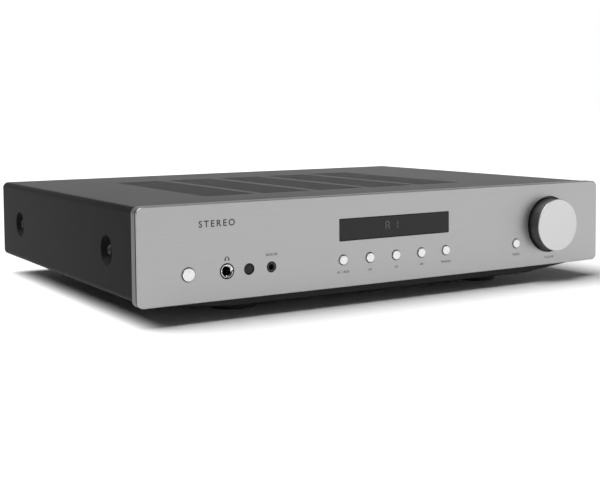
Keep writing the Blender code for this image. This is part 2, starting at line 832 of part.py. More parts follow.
def fluted(radius, flutes, depth):
    """A circle with shallow rounded flutes, for a finger grip."""
    points = []
    for i in range(flutes * 2):
        angle = pi * i / flutes
        reach = radius - depth * (i % 2)
        points.append((reach * cos(angle), reach * sin(angle)))
    return points


def make_screw_terminal(name, number, x, panel_depth, length, radius, color):
    """A stud with a collar, the clamp washer on it, and the cap that screws down on both."""
    label = f"_{number}" if number else ""
    stud, bore, collar, washer = 0.0020, 0.0023, 0.0014, 0.0012
    center = (x, REAR_Z)
    seat = panel_depth + GAP
    washer_start = seat + collar + GAP
    cap_start = washer_start + washer + GAP
    end = panel_depth + length
    profile = [
        (0, behind(0.3000)),
        (stud, behind(0.3000)),
        (stud, behind(seat)),
        (radius - 0.0008, behind(seat)),
        (radius - 0.0008, behind(seat + collar)),
        (stud, behind(seat + collar)),
        (stud, behind(end - 0.0030)),
        (0, behind(end - 0.0030)),
    ]
    turned(f"{name}_stud{label}", "brass", profile, (x, 0, REAR_Z), segments=12)
    ring = [(bore, 0), (radius - 0.0008, 0), (radius - 0.0008, washer), (bore, washer)]
    place = (x, behind(washer_start), REAR_Z)
    turned(f"{name}_washer{label}", "brass", ring, place, segments=16)
    grip, nose = fluted(radius, 10, 0.0006), fluted(radius * 0.80, 10, 0.0002)
    depth = end - cap_start
    sections = [
        (0, scaled(grip, 0.94)),
        (0.0006, grip),
        (depth - 0.0016, grip),
        (depth, nose),
    ]
    hole = (circle(bore, 12), depth - 0.0020)
    block(
        f"{name}_cap{label}", color, sections, [hole], location=(x, behind(cap_start), REAR_Z)
    )


def make_speaker_terminals():
    """A moulded strip on the panel with a screw terminal for each speaker wire."""
    outline = rounded_box(0.0840, 0.0240, 0.0020, (SPEAKER_X, REAR_Z), 3)
    strip_back = PANEL_BACK + 0.0033
    faces = (behind(PANEL_BACK + GAP), behind(strip_back))
    holes = [round_hole(x, REAR_Z, 0.0023, 12) for x in speaker_places()]
    block("speaker_terminal_strip", "black_plastic", [(y, outline) for y in faces], holes)
    for number, x in enumerate(speaker_places(), 1):
        color = "red_plastic" if number % 2 else "black_plastic"
        make_screw_terminal("speaker", number, x, strip_back, 0.0130, 0.0058, color)
    make_screw_terminal("ground", 0, GROUND_X, PANEL_BACK, 0.0100, 0.0048, "aluminium")


def make_socket_block(name, places, margin):
    """A moulded block inside the panel with its socket barrels standing out through it."""
    xs, zs = [x for x, _ in places], [z for _, z in places]
    middle = ((min(xs) + max(xs)) / 2, (min(zs) + max(zs)) / 2)
    size = (max(xs) - min(xs) + 2 * margin, max(zs) - min(zs) + 2 * margin)
    body = rectangle(*size, middle)
    front, back, tip = 0.3005, PANEL_FRONT - GAP, PANEL_BACK + 0.0095
    moulding = block(name, "black_plastic", [(behind(front), body), (behind(back), body)])
    barrels = bmesh.new()
    bore, floor = 0.0018, PANEL_BACK + 0.0010
    for x, z in places:
        profile = [
            (0, behind(back - 0.001)),
            (RCA_RADIUS, behind(back - 0.001)),
            (RCA_RADIUS, behind(tip - 0.0004)),
            (RCA_RADIUS - 0.0004, behind(tip)),
            (bore, behind(tip)),
            (bore, behind(floor)),
            (0, behind(floor)),
        ]
        add_turned(barrels, profile, segments=12, center=(x, 0, z))
    combine(moulding, barrels, "UNION")


def make_all():
    clear_scene()
    make_fascia()
    make_frame()
    make_subpanel()
    make_display()
    make_front_board()
    make_buttons()
    make_volume_control()
    make_headphone_socket()
    make_small_front_parts()
    make_top_cover()
    make_chassis()
    make_feet()
    make_cover_screws()
    make_transformer()
    make_main_board()
    make_heatsink()
    make_capacitors()
    make_ribbon_cable()
    make_rear_panel()
    make_mains_inlet()
    make_mains_switch()
    make_speaker_terminals()
    make_socket_block("line_input_block", line_places(), 0.0088)
    make_socket_block("phono_input_block", phono_places(), 0.0088)


make_all()
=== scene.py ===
"""Looks of a slim stereo amplifier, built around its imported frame.

Metres, +Z up, the fascia looks along -Y. Every piece sits where its frame nodes are.
"""

import json

import bmesh
import bpy
from math import cos, pi, radians, sin
from mathutils import Matrix, Vector


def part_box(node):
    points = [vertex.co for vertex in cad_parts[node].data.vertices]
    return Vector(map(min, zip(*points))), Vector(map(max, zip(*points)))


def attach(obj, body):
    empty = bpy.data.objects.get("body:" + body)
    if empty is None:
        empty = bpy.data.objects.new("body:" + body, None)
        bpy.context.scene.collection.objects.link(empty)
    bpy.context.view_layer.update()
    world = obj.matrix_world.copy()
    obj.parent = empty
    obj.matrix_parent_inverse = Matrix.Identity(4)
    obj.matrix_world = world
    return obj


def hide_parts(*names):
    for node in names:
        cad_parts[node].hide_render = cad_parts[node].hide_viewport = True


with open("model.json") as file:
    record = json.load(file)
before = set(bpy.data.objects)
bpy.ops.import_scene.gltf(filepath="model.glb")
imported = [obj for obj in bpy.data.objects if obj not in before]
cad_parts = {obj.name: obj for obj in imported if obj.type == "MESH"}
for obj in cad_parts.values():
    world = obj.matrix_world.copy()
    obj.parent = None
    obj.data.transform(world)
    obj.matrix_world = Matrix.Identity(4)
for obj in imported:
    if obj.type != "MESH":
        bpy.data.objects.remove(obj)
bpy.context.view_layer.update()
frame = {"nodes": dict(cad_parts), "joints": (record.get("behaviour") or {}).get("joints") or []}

# Camera
CAMERA_AT = (-0.49260, -0.83064, 0.14969)
CAMERA_YAW, CAMERA_PITCH, CAMERA_ROLL = 31.1342, 3.5, 0.4657
LENS = 64.867
SHIFT_Y = -0.12889

# Case: its boxes in the frame, and its finer sizes
FASCIA_LOW, FASCIA_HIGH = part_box("front_fascia")
COVER_LOW, COVER_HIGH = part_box("top_cover")
FACE_Y = FASCIA_LOW.y
WIDTH = FASCIA_HIGH.x - FASCIA_LOW.x
FASCIA_HEIGHT = FASCIA_HIGH.z - FASCIA_LOW.z
MID_Z = (FASCIA_LOW.z + FASCIA_HIGH.z) / 2
CORNER_RADIUS = 0.0048
SHEET = 0.0012
KNOB_HOLE = 0.02365  # radius of the opening round the knob
HULL_TOP, HULL_FLOOR = 0.2015, 0.1400  # half widths of the hull
BEND_STEPS = 12

# Cooling slots in the cover
SLOT_BLOCKS, SLOT_ROWS = 5, 27
SLOT_LENGTH, SLOT_WIDTH = 0.0432, 0.0028
BLOCK_PITCH, ROW_PITCH = 0.0508, 0.0067
MIDDLE_BLOCK_X = -0.0110
FIRST_ROW = 0.0640

# Controls and connections
SOURCE_NAMES = ("A1 / AUX", "A2", "A3", "A4", "PHONO")
SOCKET_COLUMNS = {"line_input_block": 5, "phono_input_block": 1}
SOCKET_PITCH = 0.0180
STUD_HOLE = 0.0023  # radius of the holes round the terminals' studs
INK = 0.00002  # thickness of printing
GAP = 0.0003  # between pieces that meet
PANEL_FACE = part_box("rear_panel")[1].y

# (x, z) of the rear panel's screws at +X; the others mirror them
REAR_SCREWS = ((0.2060, 0.0300), (0.2060, 0.0690), (0.1000, 0.0770), (0.0300, 0.0770), (0.1500, 0.0200))

# Sun: its strength, its spread in degrees, and its turns about X and Y in degrees
SUN_STRENGTH, SUN_SPREAD = 5.2, 60
SUN_TURNS = (-13, -22)


def behind(depth):
    """World Y of a point that far behind the fascia's face."""
    return FACE_Y + depth


def middle(node):
    low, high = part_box(node)
    return (low + high) / 2


def front_center(node):
    """The node's middle as (x, z), as it is seen from the front."""
    place = middle(node)
    return (place.x, place.z)


def size(node):
    low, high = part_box(node)
    return high - low


# Outlines, as lists of (u, v) points


def arc(center_u, center_v, radius, start, end, steps):
    """Points along an arc, from the start to the end angle in degrees."""
    points = []
    for step in range(steps + 1):
        angle = radians(start + (end - start) * step / steps)
        points.append((center_u + radius * cos(angle), center_v + radius * sin(angle)))
    return points


def circle(radius, center=(0, 0), segments=64):
    return arc(center[0], center[1], radius, 0, 360 - 360 / segments, segments - 1)


def rounded_box(width, height, radius, center=(0, 0), steps=6):
    across, up = width / 2 - radius, height / 2 - radius
    corners = ((across, -up, -90), (across, up, 0), (-across, up, 90), (-across, -up, 180))
    points = []
    for u, v, start in corners:
        points += arc(center[0] + u, center[1] + v, radius, start, start + 90, steps)
    return points


def obround(length, width, center, steps=6):
    """A slot's outline with round ends."""
    u, v = center
    reach, radius = (length - width) / 2, width / 2
    return arc(u + reach, v, radius, -90, 90, steps) + arc(u - reach, v, radius, 90, 270, steps)


def both_sides(half):
    """A whole outline from one half of it."""
    return half + [(-u, v) for u, v in reversed(half)]


def eased(outline, face, radius, into=1, steps=3):
    """Sections that round an edge: outline(inset) from its face at w = face, inwards along into."""
    sections = []
    for step in range(steps + 1):
        angle = pi / 2 * step / steps
        w = face + into * radius * (1 - cos(angle))
        sections.append((w, outline(radius * (1 - sin(angle)))))
    return sections


def eased_bar(outline, front, back, front_ease=0.0003, back_ease=0.0003):
    """Sections of a bar along an axis with both its ends rounded."""
    return eased(outline, front, front_ease) + eased(outline, back, back_ease, -1)[::-1]


def eased_plate(outline, hidden, face, ease):
    """Sections of a plate from its hidden side to the rounded edge of its face."""
    return [(hidden, outline(0))] + eased(outline, face, ease, -1)[::-1]


def disc(center, radius, segments=64):
    """A circle as a function of its inset."""
    return lambda inset: circle(radius - inset, center, segments)


def plate(width, height, radius, center):
    """A rounded box as a function of its inset."""
    return lambda inset: rounded_box(
        width - 2 * inset, height - 2 * inset, max(radius - inset, 0.0002), center
    )


def node_plate(node, radius):
    """A rounded box as wide and as high as the node."""
    low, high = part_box(node)
    return plate(high.x - low.x, high.z - low.z, radius, front_center(node))


def opening(outline, face, end, rim=0.0002, into=1):
    """Sections of a hole or a pit whose edge at the face is rounded outwards."""
    return eased(lambda inset: outline(-inset), face, rim, into) + [(end, outline(0))]


# Mesh building. AXES turns (u, v, w) into a point, with w along the named axis.

AXES = {
    "X": lambda u, v, w: (w, u, v),
    "Y": lambda u, v, w: (u, w, v),
    "Z": lambda u, v, w: (u, v, w),
}


def add_ring(mesh, outline, w, axis="Y"):
    return [mesh.verts.new(AXES[axis](u, v, w)) for u, v in outline]


def bridge(mesh, first, second):
    """Joins two rings of points with quads."""
    count = len(first)
    for i in range(count):
        j = (i + 1) % count
        mesh.faces.new((first[i], first[j], second[j], second[i]))


def add_strip(mesh, first, second, gaps=()):
    """Joins two open rows of points with quads, but for the gaps."""
    for i in range(len(first) - 1):
        if i not in gaps:
            mesh.faces.new((first[i], first[i + 1], second[i + 1], second[i]))


def join_rings(mesh, rings):
    for first, second in zip(rings, rings[1:]):
        bridge(mesh, first, second)


def cap(mesh, rings):
    """Fills the flat area inside the first ring and outside the others."""
    edges = []
    for ring in rings:
        for i, vertex in enumerate(ring):
            pair = (vertex, ring[(i + 1) % len(ring)])
            edges.append(mesh.edges.get(pair) or mesh.edges.new(pair))
    bmesh.ops.triangle_fill(mesh, use_beauty=True, use_dissolve=False, edges=edges)


def add_solid(mesh, outer, holes=(), pits=(), axis="Y"):
    """A solid through (w, outline) sections, with holes right through and pits with a floor."""
    walls = [[add_ring(mesh, outline, w, axis) for w, outline in outer]]
    for sections in list(holes) + list(pits):
        walls.append([add_ring(mesh, outline, w, axis) for w, outline in sections])
    for wall in walls:
        join_rings(mesh, wall)
    through = walls[: 1 + len(holes)]
    cap(mesh, [wall[0] for wall in walls])
    cap(mesh, [wall[-1] for wall in through])
    for pit in walls[1 + len(holes) :]:
        cap(mesh, [pit[-1]])


def add_turned(mesh, profile, center, axis="Y", segments=64):
    """A turned solid round the center (u, v).

    The profile is (radius, w) from axis to axis, or a closed loop off the axis.
    """
    rings = []
    for radius, w in profile:
        if radius == 0:
            rings.append([mesh.verts.new(AXES[axis](0, 0, w))])
        else:
            rings.append(add_ring(mesh, circle(radius, segments=segments), w, axis))
    pairs = list(zip(rings, rings[1:]))
    if profile[0][0] > 0:
        pairs.append((rings[-1], rings[0]))
    for first, second in pairs:
        if len(first) > 1 and len(second) > 1:
            bridge(mesh, first, second)
            continue
        tip, ring = (first, second) if len(first) == 1 else (second, first)
        for i, vertex in enumerate(ring):
            mesh.faces.new((tip[0], vertex, ring[(i + 1) % len(ring)]))
    bmesh.ops.translate(mesh, verts=[v for ring in rings for v in ring], vec=AXES[axis](*center, 0))


def rounded_corner(radius, w, ease, turn, steps=4):
    """Points of a turned profile that round an outer edge of this radius at w.

    turn is +1 where the face comes first and the wall runs on towards +w, -1 where it ends
    a wall that came from -w.
    """
    points = []
    for step in range(steps + 1):
        angle = pi / 2 * step / steps
        points.append((radius - ease * (1 - sin(angle)), w + turn * ease * (1 - cos(angle))))
    return points if turn > 0 else points[::-1]


def put(name, data):
    """A new object that puts this data in the scene."""
    made = bpy.data.objects.new(name, data)
    bpy.context.scene.collection.objects.link(made)
    return made


def make_piece(name, mesh, finish_name, replaced="", body="chassis", slot=""):
    """Puts a finished bmesh in the scene, smooth but for its sharp edges, riding its body.

    replaced is the frame's node that it stands for, if any. slot is not used.
    """
    bmesh.ops.recalc_face_normals(mesh, faces=mesh.faces)
    data = bpy.data.meshes.new(name)
    mesh.to_mesh(data)
    mesh.free()
    data.shade_smooth()
    data.set_sharp_from_angle(angle=radians(35))
    data.materials.append(FINISH[finish_name])
    made = put(name, data)
    shading = made.modifiers.new("Even shading", "WEIGHTED_NORMAL")
    shading.keep_sharp = True
    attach(made, body)
    if replaced:
        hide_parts(replaced)


def solid_piece(name, finish_name, replaced, outer, holes=(), pits=(), **where):
    mesh = bmesh.new()
    add_solid(mesh, outer, holes, pits)
    make_piece(name, mesh, finish_name, replaced, **where)


def turned_piece(name, finish_name, replaced, profile, center, axis="Y", segments=64, **where):
    mesh = bmesh.new()
    add_turned(mesh, profile, center, axis, segments)
    make_piece(name, mesh, finish_name, replaced, **where)


# Materials


def triple(value):
    """Three numbers: the ones given, or one number three times."""
    return value if isinstance(value, tuple) else (value, value, value)


def feed(tree, made, inputs):
    """Gives a node's inputs their values, or links them where a socket is given."""
    for key, value in inputs.items():
        if isinstance(value, bpy.types.NodeSocket):
            tree.links.new(value, made.inputs[key])
        else:
            made.inputs[key].default_value = value


def node(tree, kind, inputs, **settings):
    made = tree.nodes.new(kind)
    for key, value in settings.items():
        setattr(made, key, value)
    feed(tree, made, inputs)
    return made


def own_position(tree):
    """The piece's own coordinates in metres."""
    return node(tree, "ShaderNodeTexCoord", {}).outputs["Object"]


def scaled_position(tree, scale):
    inputs = {"Vector": own_position(tree), "Scale": triple(scale)}
    return node(tree, "ShaderNodeMapping", inputs).outputs["Vector"]


def away_from(tree, center):
    inputs = {0: own_position(tree), 1: center}
    return node(tree, "ShaderNodeVectorMath", inputs, operation="SUBTRACT").outputs[0]


def noise(tree, scale, detail=3.0):
    """Noise with that many grains to the metre, along each axis or along all."""
    inputs = {"Vector": scaled_position(tree, scale), "Scale": 1.0, "Detail": detail, "Roughness": 0.6}
    return node(tree, "ShaderNodeTexNoise", inputs).outputs["Fac"]


def calculated(tree, operation, *values):
    inputs = dict(enumerate(values))
    return node(tree, "ShaderNodeMath", inputs, operation=operation).outputs[0]


def spread(tree, source, low, high, start=0.3, end=0.7):
    """Maps a texture's middle range to low..high."""
    inputs = {"Value": source, "From Min": start, "From Max": end, "To Min": low, "To Max": high}
    return node(tree, "ShaderNodeMapRange", inputs).outputs["Result"]


def ramp(tree, source, stops):
    """A color ramp from (position, color or level of grey) stops."""
    made = node(tree, "ShaderNodeValToRGB", {"Fac": source})
    points = made.color_ramp.elements
    while len(points) < len(stops):
        points.new(0.5)
    for point, (position, color) in zip(points, stops):
        point.position = position
        point.color = (*triple(color), 1)
    return made.outputs["Color"]


def new_material(name, metallic=0.0, specular=0.5):
    made = bpy.data.materials.new(name)
    made.use_nodes = True
    shader = made.node_tree.nodes["Principled BSDF"]
    feed(made.node_tree, shader, {"Metallic": metallic, "Specular IOR Level": specular})
    return made, made.node_tree, shader


def dress(tree, shader, color, roughness, height, strength, distance):
    """Links a surface's color and roughness, and a bump from its height."""
    inputs = {"Height": height, "Strength": strength, "Distance": distance}
    bump = node(tree, "ShaderNodeBump", inputs).outputs["Normal"]
    feed(tree, shader, {"Base Color": color, "Roughness": roughness, "Normal": bump})


def finish(name, dark, light, roughness, grain, metallic=0.0, bump=(0.2, 0.00005), specular=0.5):
    """Fine grain between two colors with a little slow unevenness, uneven roughness and a fine bump."""
    made, tree, shader = new_material(name, metallic, specular)
    fine = noise(tree, grain)
    slow = calculated(tree, "MULTIPLY", noise(tree, 12, 2.0), 0.15)
    mixed = calculated(tree, "MULTIPLY_ADD", fine, 0.85, slow)
    color = ramp(tree, mixed, ((0.35, dark), (0.65, light)))
    dress(tree, shader, color, spread(tree, mixed, *roughness), fine, *bump)
    return made


def radial_finish(name, center, dark, light, roughness, rings):
    """Spun metal: fine rings round an axis along Y through the center."""
    made, tree, shader = new_material(name, 1.0)
    inputs = {0: away_from(tree, center), 1: (1, 0, 1)}
    flat = node(tree, "ShaderNodeVectorMath", inputs, operation="MULTIPLY").outputs[0]
    reach = node(tree, "ShaderNodeVectorMath", {0: flat}, operation="LENGTH").outputs["Value"]
    inputs = {"W": reach, "Scale": rings, "Detail": 2.0}
    turning = node(tree, "ShaderNodeTexNoise", inputs, noise_dimensions="1D").outputs["Fac"]
    color = ramp(tree, turning, ((0.35, dark), (0.65, light)))
    dress(tree, shader, color, spread(tree, turning, *roughness), turning, 0.15, 0.00002)
    return made


def wound_finish(name, center, dark, light, turns):
    """Overlapping tape wound through a ring core: bands that fan out round a vertical axis."""
    made, tree, shader = new_material(name)
    shader.inputs["Coat Weight"].default_value = 0.3
    inputs = {"Vector": away_from(tree, center)}
    around = node(tree, "ShaderNodeTexGradient", inputs, gradient_type="RADIAL").outputs["Fac"]
    lap = calculated(tree, "FRACT", calculated(tree, "MULTIPLY", around, turns))
    color = ramp(tree, lap, ((0.0, dark), (0.15, light), (0.9, light), (1.0, dark)))
    dress(tree, shader, color, spread(tree, noise(tree, 900), 0.3, 0.5), lap, 0.5, 0.0003)
    return made


def board_finish(name, pad, dark, light):
    """Solder mask with a small bare pad in each cell of an uneven pattern."""
    made, tree, shader = new_material(name)
    inputs = {"Vector": scaled_position(tree, 170), "Scale": 1.0}
    cells = node(tree, "ShaderNodeTexVoronoi", inputs, distance="MANHATTAN", feature="F1")
    away = cells.outputs["Distance"]
    mask = ramp(tree, away, ((0.10, pad), (0.14, dark), (0.5, light)))
    dress(tree, shader, mask, spread(tree, noise(tree, 700), 0.3, 0.5), away, 0.2, 0.0002)
    return made


def ribbed_finish(name, dark, light, pitch):
    """Flat cable: rounded ribs, one for each conductor across X, darker in the grooves between them as
    painted shade.
    """
    made, tree, shader = new_material(name)
    inputs = {"Vector": own_position(tree), "Scale": pi / 10 / pitch}
    settings = {"wave_type": "BANDS", "bands_direction": "X"}
    ribs = node(tree, "ShaderNodeTexWave", inputs, **settings).outputs["Fac"]
    # Darker between the ribs: painted shade in the grooves
    color = ramp(tree, ribs, ((0.1, dark), (0.7, light)))
    dress(tree, shader, color, spread(tree, noise(tree, (500, 90, 500)), 0.4, 0.6), ribs, 0.6, 0.0004)
    return made


def make_materials():
    """Every finish. A row holds two colors, roughness, grain, metallic, bump and specular level."""
    fine, moulded = 2500, 1800
    plastic = (0.15, 0.00003)
    red, deep_red = (0.44, 0.018, 0.014), (0.36, 0.010, 0.010)
    violet, deep_violet = (0.015, 0.010, 0.011), (0.012, 0.008, 0.009)
    gold, deep_gold = (0.84, 0.62, 0.28), (0.72, 0.50, 0.20)
    blue, deep_blue = (0.016, 0.022, 0.060), (0.010, 0.014, 0.040)
    rows = {
        "fascia_brushed": (0.39, 0.42, (0.40, 0.46), (25, 3500, 3500), 1.0, (0.06, 0.00002)),
        # Darker than the plate's aluminium: painted shade on the band's side faces
        "frame_band": (0.125, 0.145, (0.40, 0.46), (60, 3500, 3500), 1.0, (0.06, 0.00002)),
        # Darker copy of the knob face's aluminium: painted shade on the knob's side
        "knob_side_shaded": (0.13, 0.17, (0.46, 0.54), (900, 6, 900), 1.0, (0.10, 0.00002)),
        "button_silver": (0.75, 0.79, (0.27, 0.31), 400, 0.7, (0.01, 0.00001)),
        "chrome": (0.78, 0.84, (0.07, 0.13), fine, 1.0, (0.03, 0.00001)),
        "cover_paint": (0.005, 0.014, (0.36, 0.46), fine, 0.0, (0.45, 0.00010), 0.013),
        "hull_paint": (0.010, 0.014, (0.40, 0.48), fine, 0.0, (0.25, 0.00005), 0.2),
        "rear_paint": (0.014, 0.020, (0.45, 0.58), fine, 0.0, (0.35, 0.00006), 0.25),
        "smoked_window": (0.007, 0.009, (0.05, 0.09), 300, 0.0, (0.01, 0.00001), 0.3),
        "lens": (deep_violet, violet, (0.12, 0.18), moulded, 0.0, (0.01, 0.00001), 0.25),
        "glyph": (0.080, 0.090, (0.30, 0.40), fine),
        "ink": (0.020, 0.028, (0.50, 0.60), fine, 0.0, (0.1, 0.00001)),
        "pale_ink": (0.62, 0.70, (0.50, 0.60), fine, 0.0, (0.1, 0.00001)),
        "black_plastic": (0.012, 0.018, (0.32, 0.48), moulded, 0.0, (0.25, 0.00005)),
        "grey_plastic": (0.016, 0.022, (0.34, 0.46), moulded, 0.0, (0.2, 0.00004)),
        "white_plastic": (0.66, 0.72, (0.30, 0.42), moulded, 0.0, plastic),
        "cap_red": (deep_red, red, (0.22, 0.34), moulded, 0.0, plastic),
        "cap_black": (0.012, 0.018, (0.22, 0.34), moulded, 0.0, plastic),
        "foot_rubber": (0.012, 0.020, (0.68, 0.85), 1400, 0.0, (0.4, 0.0001)),
        "screw_black": (0.010, 0.016, (0.42, 0.56), 1200, 0.0, (0.2, 0.00003), 0.15),
        "steel": (0.42, (0.52, 0.52, 0.50), (0.25, 0.42), 240, 1.0),
        "gilt": (deep_gold, gold, (0.14, 0.26), 900, 1.0, (0.08, 0.00002)),
        "nickel": (0.52, 0.60, (0.20, 0.32), 900, 1.0, (0.08, 0.00002)),
        "heatsink": (0.46, 0.58, (0.34, 0.48), (2000, 2000, 12), 1.0),
        "sleeve": (deep_blue, blue, (0.22, 0.34), (500, 500, 60)),
        "module": (0.020, 0.028, (0.4, 0.55), moulded),
    }
    made = {name: finish(name, *row) for name, row in rows.items()}
    knob = middle("volume_knob")
    made["knob_face"] = radial_finish("knob_face", knob, 0.52, 0.57, (0.32, 0.36), 6000)
    greens = ((0.45, 0.42, 0.36), (0.012, 0.085, 0.035), (0.02, 0.14, 0.055))
    made["board"] = board_finish("board", *greens)
    made["ribbon"] = ribbed_finish("ribbon", 0.22, 0.42, 0.00127)
    browns = ((0.10, 0.05, 0.01), (0.62, 0.40, 0.10))
    made["wound"] = wound_finish("wound", middle("transformer"), *browns, 46)
    return made


FINISH = make_materials()


# Front


def fascia_outline(inset):
    radius = max(CORNER_RADIUS - inset, 0.0018)
    return rounded_box(WIDTH - 2 * inset, FASCIA_HEIGHT - 2 * inset, radius, (0, MID_Z), 10)


def source_buttons():
    return [f"source_button_{number + 1}" for number in range(5)]


def press_buttons():
    return ["power_button", *source_buttons(), "menu_button"]


def button_radius(name):
    """Radius of a button's cap, whose retaining flange stands out 1 mm further."""
    return size(name).x / 2 - 0.0010


def make_fascia():
    """The brushed plate, its edge eased in front and stepped in behind to leave a groove."""
    back, groove_start, groove_depth = FASCIA_HIGH.y, behind(0.0017), 0.0013
    outer = eased(fascia_outline, FACE_Y, 0.0005)
    outer += [(groove_start - 0.0002, fascia_outline(0)), (groove_start, fascia_outline(0.0002))]
    outer += [(groove_start, fascia_outline(groove_depth)), (back, fascia_outline(groove_depth))]
    radii = {"volume_knob": KNOB_HOLE, "headphone_nut": 0.0056, "ir_window": 0.0041, "aux_jack": 0.0039}
    for name in press_buttons():
        radii[name] = button_radius(name) + 0.0005
    shapes = [disc(front_center(name), radius) for name, radius in radii.items()]
    shapes.append(plate(0.1040, 0.0168, 0.0008, front_center("display_window")))
    holes = [opening(shape, FACE_Y, back) for shape in shapes]
    solid_piece("fascia_plate", "fascia_brushed", "front_fascia", outer, holes)


def make_band():
    """The open frame behind the plate."""
    low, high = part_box("fascia_frame")
    wall = 0.0034
    outer = eased_bar(fascia_outline, low.y, high.y)
    hole = [(low.y, fascia_outline(wall)), (high.y, fascia_outline(wall))]
    # The band's darker metal paints shade on its side faces
    solid_piece("fascia_band", "frame_band", "fascia_frame", outer, [hole])


def make_window():
    """Smoked pane with a flange behind the plate."""
    low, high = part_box("display_window")
    pane = plate(0.1034, 0.0162, 0.0006, front_center("display_window"))
    flange = node_plate("display_window", 0.001)
    step = behind(0.0034)
    sections = eased(pane, low.y, 0.0003) + [(step, pane(0)), (step, flange(0)), (high.y, flange(0))]
    solid_piece("display_pane", "smoked_window", "display_window", sections)


# The strokes of the letter A: both ends on a grid one stroke wide and two high
STROKES = {
    "top": ((0, 2), (1, 2)),
    "upper_right": ((1, 2), (1, 1)),
    "lower_right": ((1, 1), (1, 0)),
    "lower_left": ((0, 1), (0, 0)),
    "upper_left": ((0, 2), (0, 1)),
    "middle": ((0, 1), (1, 1)),
}
LETTER_A = list(STROKES)
FIGURE_1 = ["upper_right", "lower_right"]


def stroke_outline(start, end, left, bottom, reach, width):
    """One stroke as a bar with pointed ends."""
    a = Vector((left + start[0] * reach, bottom + start[1] * reach))
    b = Vector((left + end[0] * reach, bottom + end[1] * reach))
    along = (b - a).normalized()
    aside = Vector((-along.y, along.x)) * width / 2
    gap = along * width * 0.15
    point = along * width / 2
    a, b = a + gap, b - gap
    corners = (a, a + point - aside, b - point - aside, b, b - point + aside, a + point + aside)
    return [(corner.x, corner.y) for corner in corners]


def make_glyphs():
    """The shown input, in segments."""
    window = middle("display_window")
    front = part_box("display_window")[0].y - 0.00004
    reach, width = 0.0031, 0.0008
    bottom = window.z - 0.0023
    mesh = bmesh.new()
    for left, strokes in ((window.x - 0.0092, LETTER_A), (window.x - 0.0011, FIGURE_1)):
        for name in strokes:
            outline = stroke_outline(*STROKES[name], left, bottom, reach, width)
            add_solid(mesh, [(front, outline), (front + INK, outline)])
    make_piece("display_glyphs", mesh, "glyph")


def domed_face(radius, front, dome, ease):
    """Profile of a slightly domed face with a rounded edge, from its axis outwards."""
    flat = radius - ease
    points = [(flat * part, front + dome * part * part) for part in (0, 0.25, 0.5, 0.75)]
    return points + rounded_corner(radius, front + dome, ease, 1)


def make_button(name):
    """A domed cap with a soft edge, its retaining flange and its stem."""
    low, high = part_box(name)
    radius = button_radius(name)
    flange = behind(0.0035)
    stem = 0.0020 if name == "power_button" else 0.0016
    profile = domed_face(radius, low.y, 0.00025, 0.0004)
    profile += [(radius, flange), (radius + 0.0010, flange), (radius + 0.0010, flange + 0.0010)]
    profile += [(stem, flange + 0.0010), (stem, high.y), (0, high.y)]
    turned_piece(f"{name}_cap", "button_silver", name, profile, front_center(name), body=name)


def make_button_shade_rings():
    """Thin dark liners between the fascia's holes and the button caps: painted shade in the gaps round
    the caps.
    """
    mesh = bmesh.new()
    for name in press_buttons():
        inner, outer = button_radius(name) + 0.0002, button_radius(name) + 0.00047
        front, back = behind(0.0004), FASCIA_HIGH.y
        profile = [(inner, front), (outer, front), (outer, back), (inner, back)]
        add_turned(mesh, profile, front_center(name))
    make_piece("button_shade_rings", mesh, "black_plastic")


def make_knob():
    """Spun, slightly dished face with a bright chamfer, on a turned skirt with a bore for the shaft."""
    low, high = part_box("volume_knob")
    radius, front = (high.x - low.x) / 2, low.y
    seam = front + 0.0008
    dish, flat = 0.0008, radius - 0.0008
    parts = (0, 0.2, 0.4, 0.6, 0.8, 1)
    face = [(flat * part, front + 0.0001 + dish * (1 - part * part)) for part in parts]
    face += [(radius - 0.0006, front)] + rounded_corner(radius, front, 0.0004, 1)
    face += [(radius, seam - 0.0001), (radius - 0.0001, seam)]
    face += [(0.0100, front + 0.0012), (0, front + 0.0014)]
    center, where = front_center("volume_knob"), {"segments": 128, "body": "volume_control"}
    turned_piece("knob_face", "knob_face", "volume_knob", face, center, **where)
    skirt = [(0.0033, front + 0.0032), (radius - 0.0012, front + 0.0032), (radius - 0.0012, seam)]
    skirt += [(radius - 0.0001, seam), (radius, seam + 0.0001)]
    skirt += rounded_corner(radius, high.y, 0.0003, -1)
    skirt += [(radius - 0.0016, high.y), (radius - 0.0020, high.y - 0.0030), (0.0070, high.y - 0.0030)]
    skirt += [(0.0066, high.y), (0.0033, high.y)]
    # The skirt takes the darker copy of the knob's metal, which paints shade on the knob's side
    turned_piece("knob_skirt", "knob_side_shaded", "", skirt, center, **where)


def make_knob_shade_cup():
    """Dark cup that lines the plate's opening and lies behind the knob: painted shade for the gap round
    the knob.
    """
    outer, inner, back = KNOB_HOLE - 0.00005, KNOB_HOLE - 0.0004, FASCIA_HIGH.y
    floor, shaft_hole = behind(0.0020), 0.0120
    ring = [(shaft_hole, back), (shaft_hole, floor), (inner, floor), (inner, behind(0.0004))]
    ring += [(inner + 0.0001, behind(0.0002))]
    ring += [(outer - 0.0001, behind(0.0002)), (outer, behind(0.0004)), (outer, back)]
    turned_piece("knob_shade_cup", "black_plastic", "", ring, front_center("volume_knob"), segments=128)


def notched_ring(mesh, center, profile, cut_profile, notches, half_turn):
    """A ring swept round an axis along Y, cut to another profile at evenly spaced notches."""
    loops = []
    for notch in range(notches):
        turn = 360 * notch / notches
        stops = [(turn - half_turn, cut_profile), (turn + half_turn, cut_profile)]
        span = 360 / notches - 2 * half_turn
        steps = 16
        stops += [(turn + half_turn + span * step / steps, profile) for step in range(steps + 1)]
        for angle, shape in stops:
            across, up = cos(radians(angle)), sin(radians(angle))
            points = [(center[0] + r * across, w, center[1] + r * up) for r, w in shape]
            loops.append([mesh.verts.new(point) for point in points])
    join_rings(mesh, loops + loops[:1])


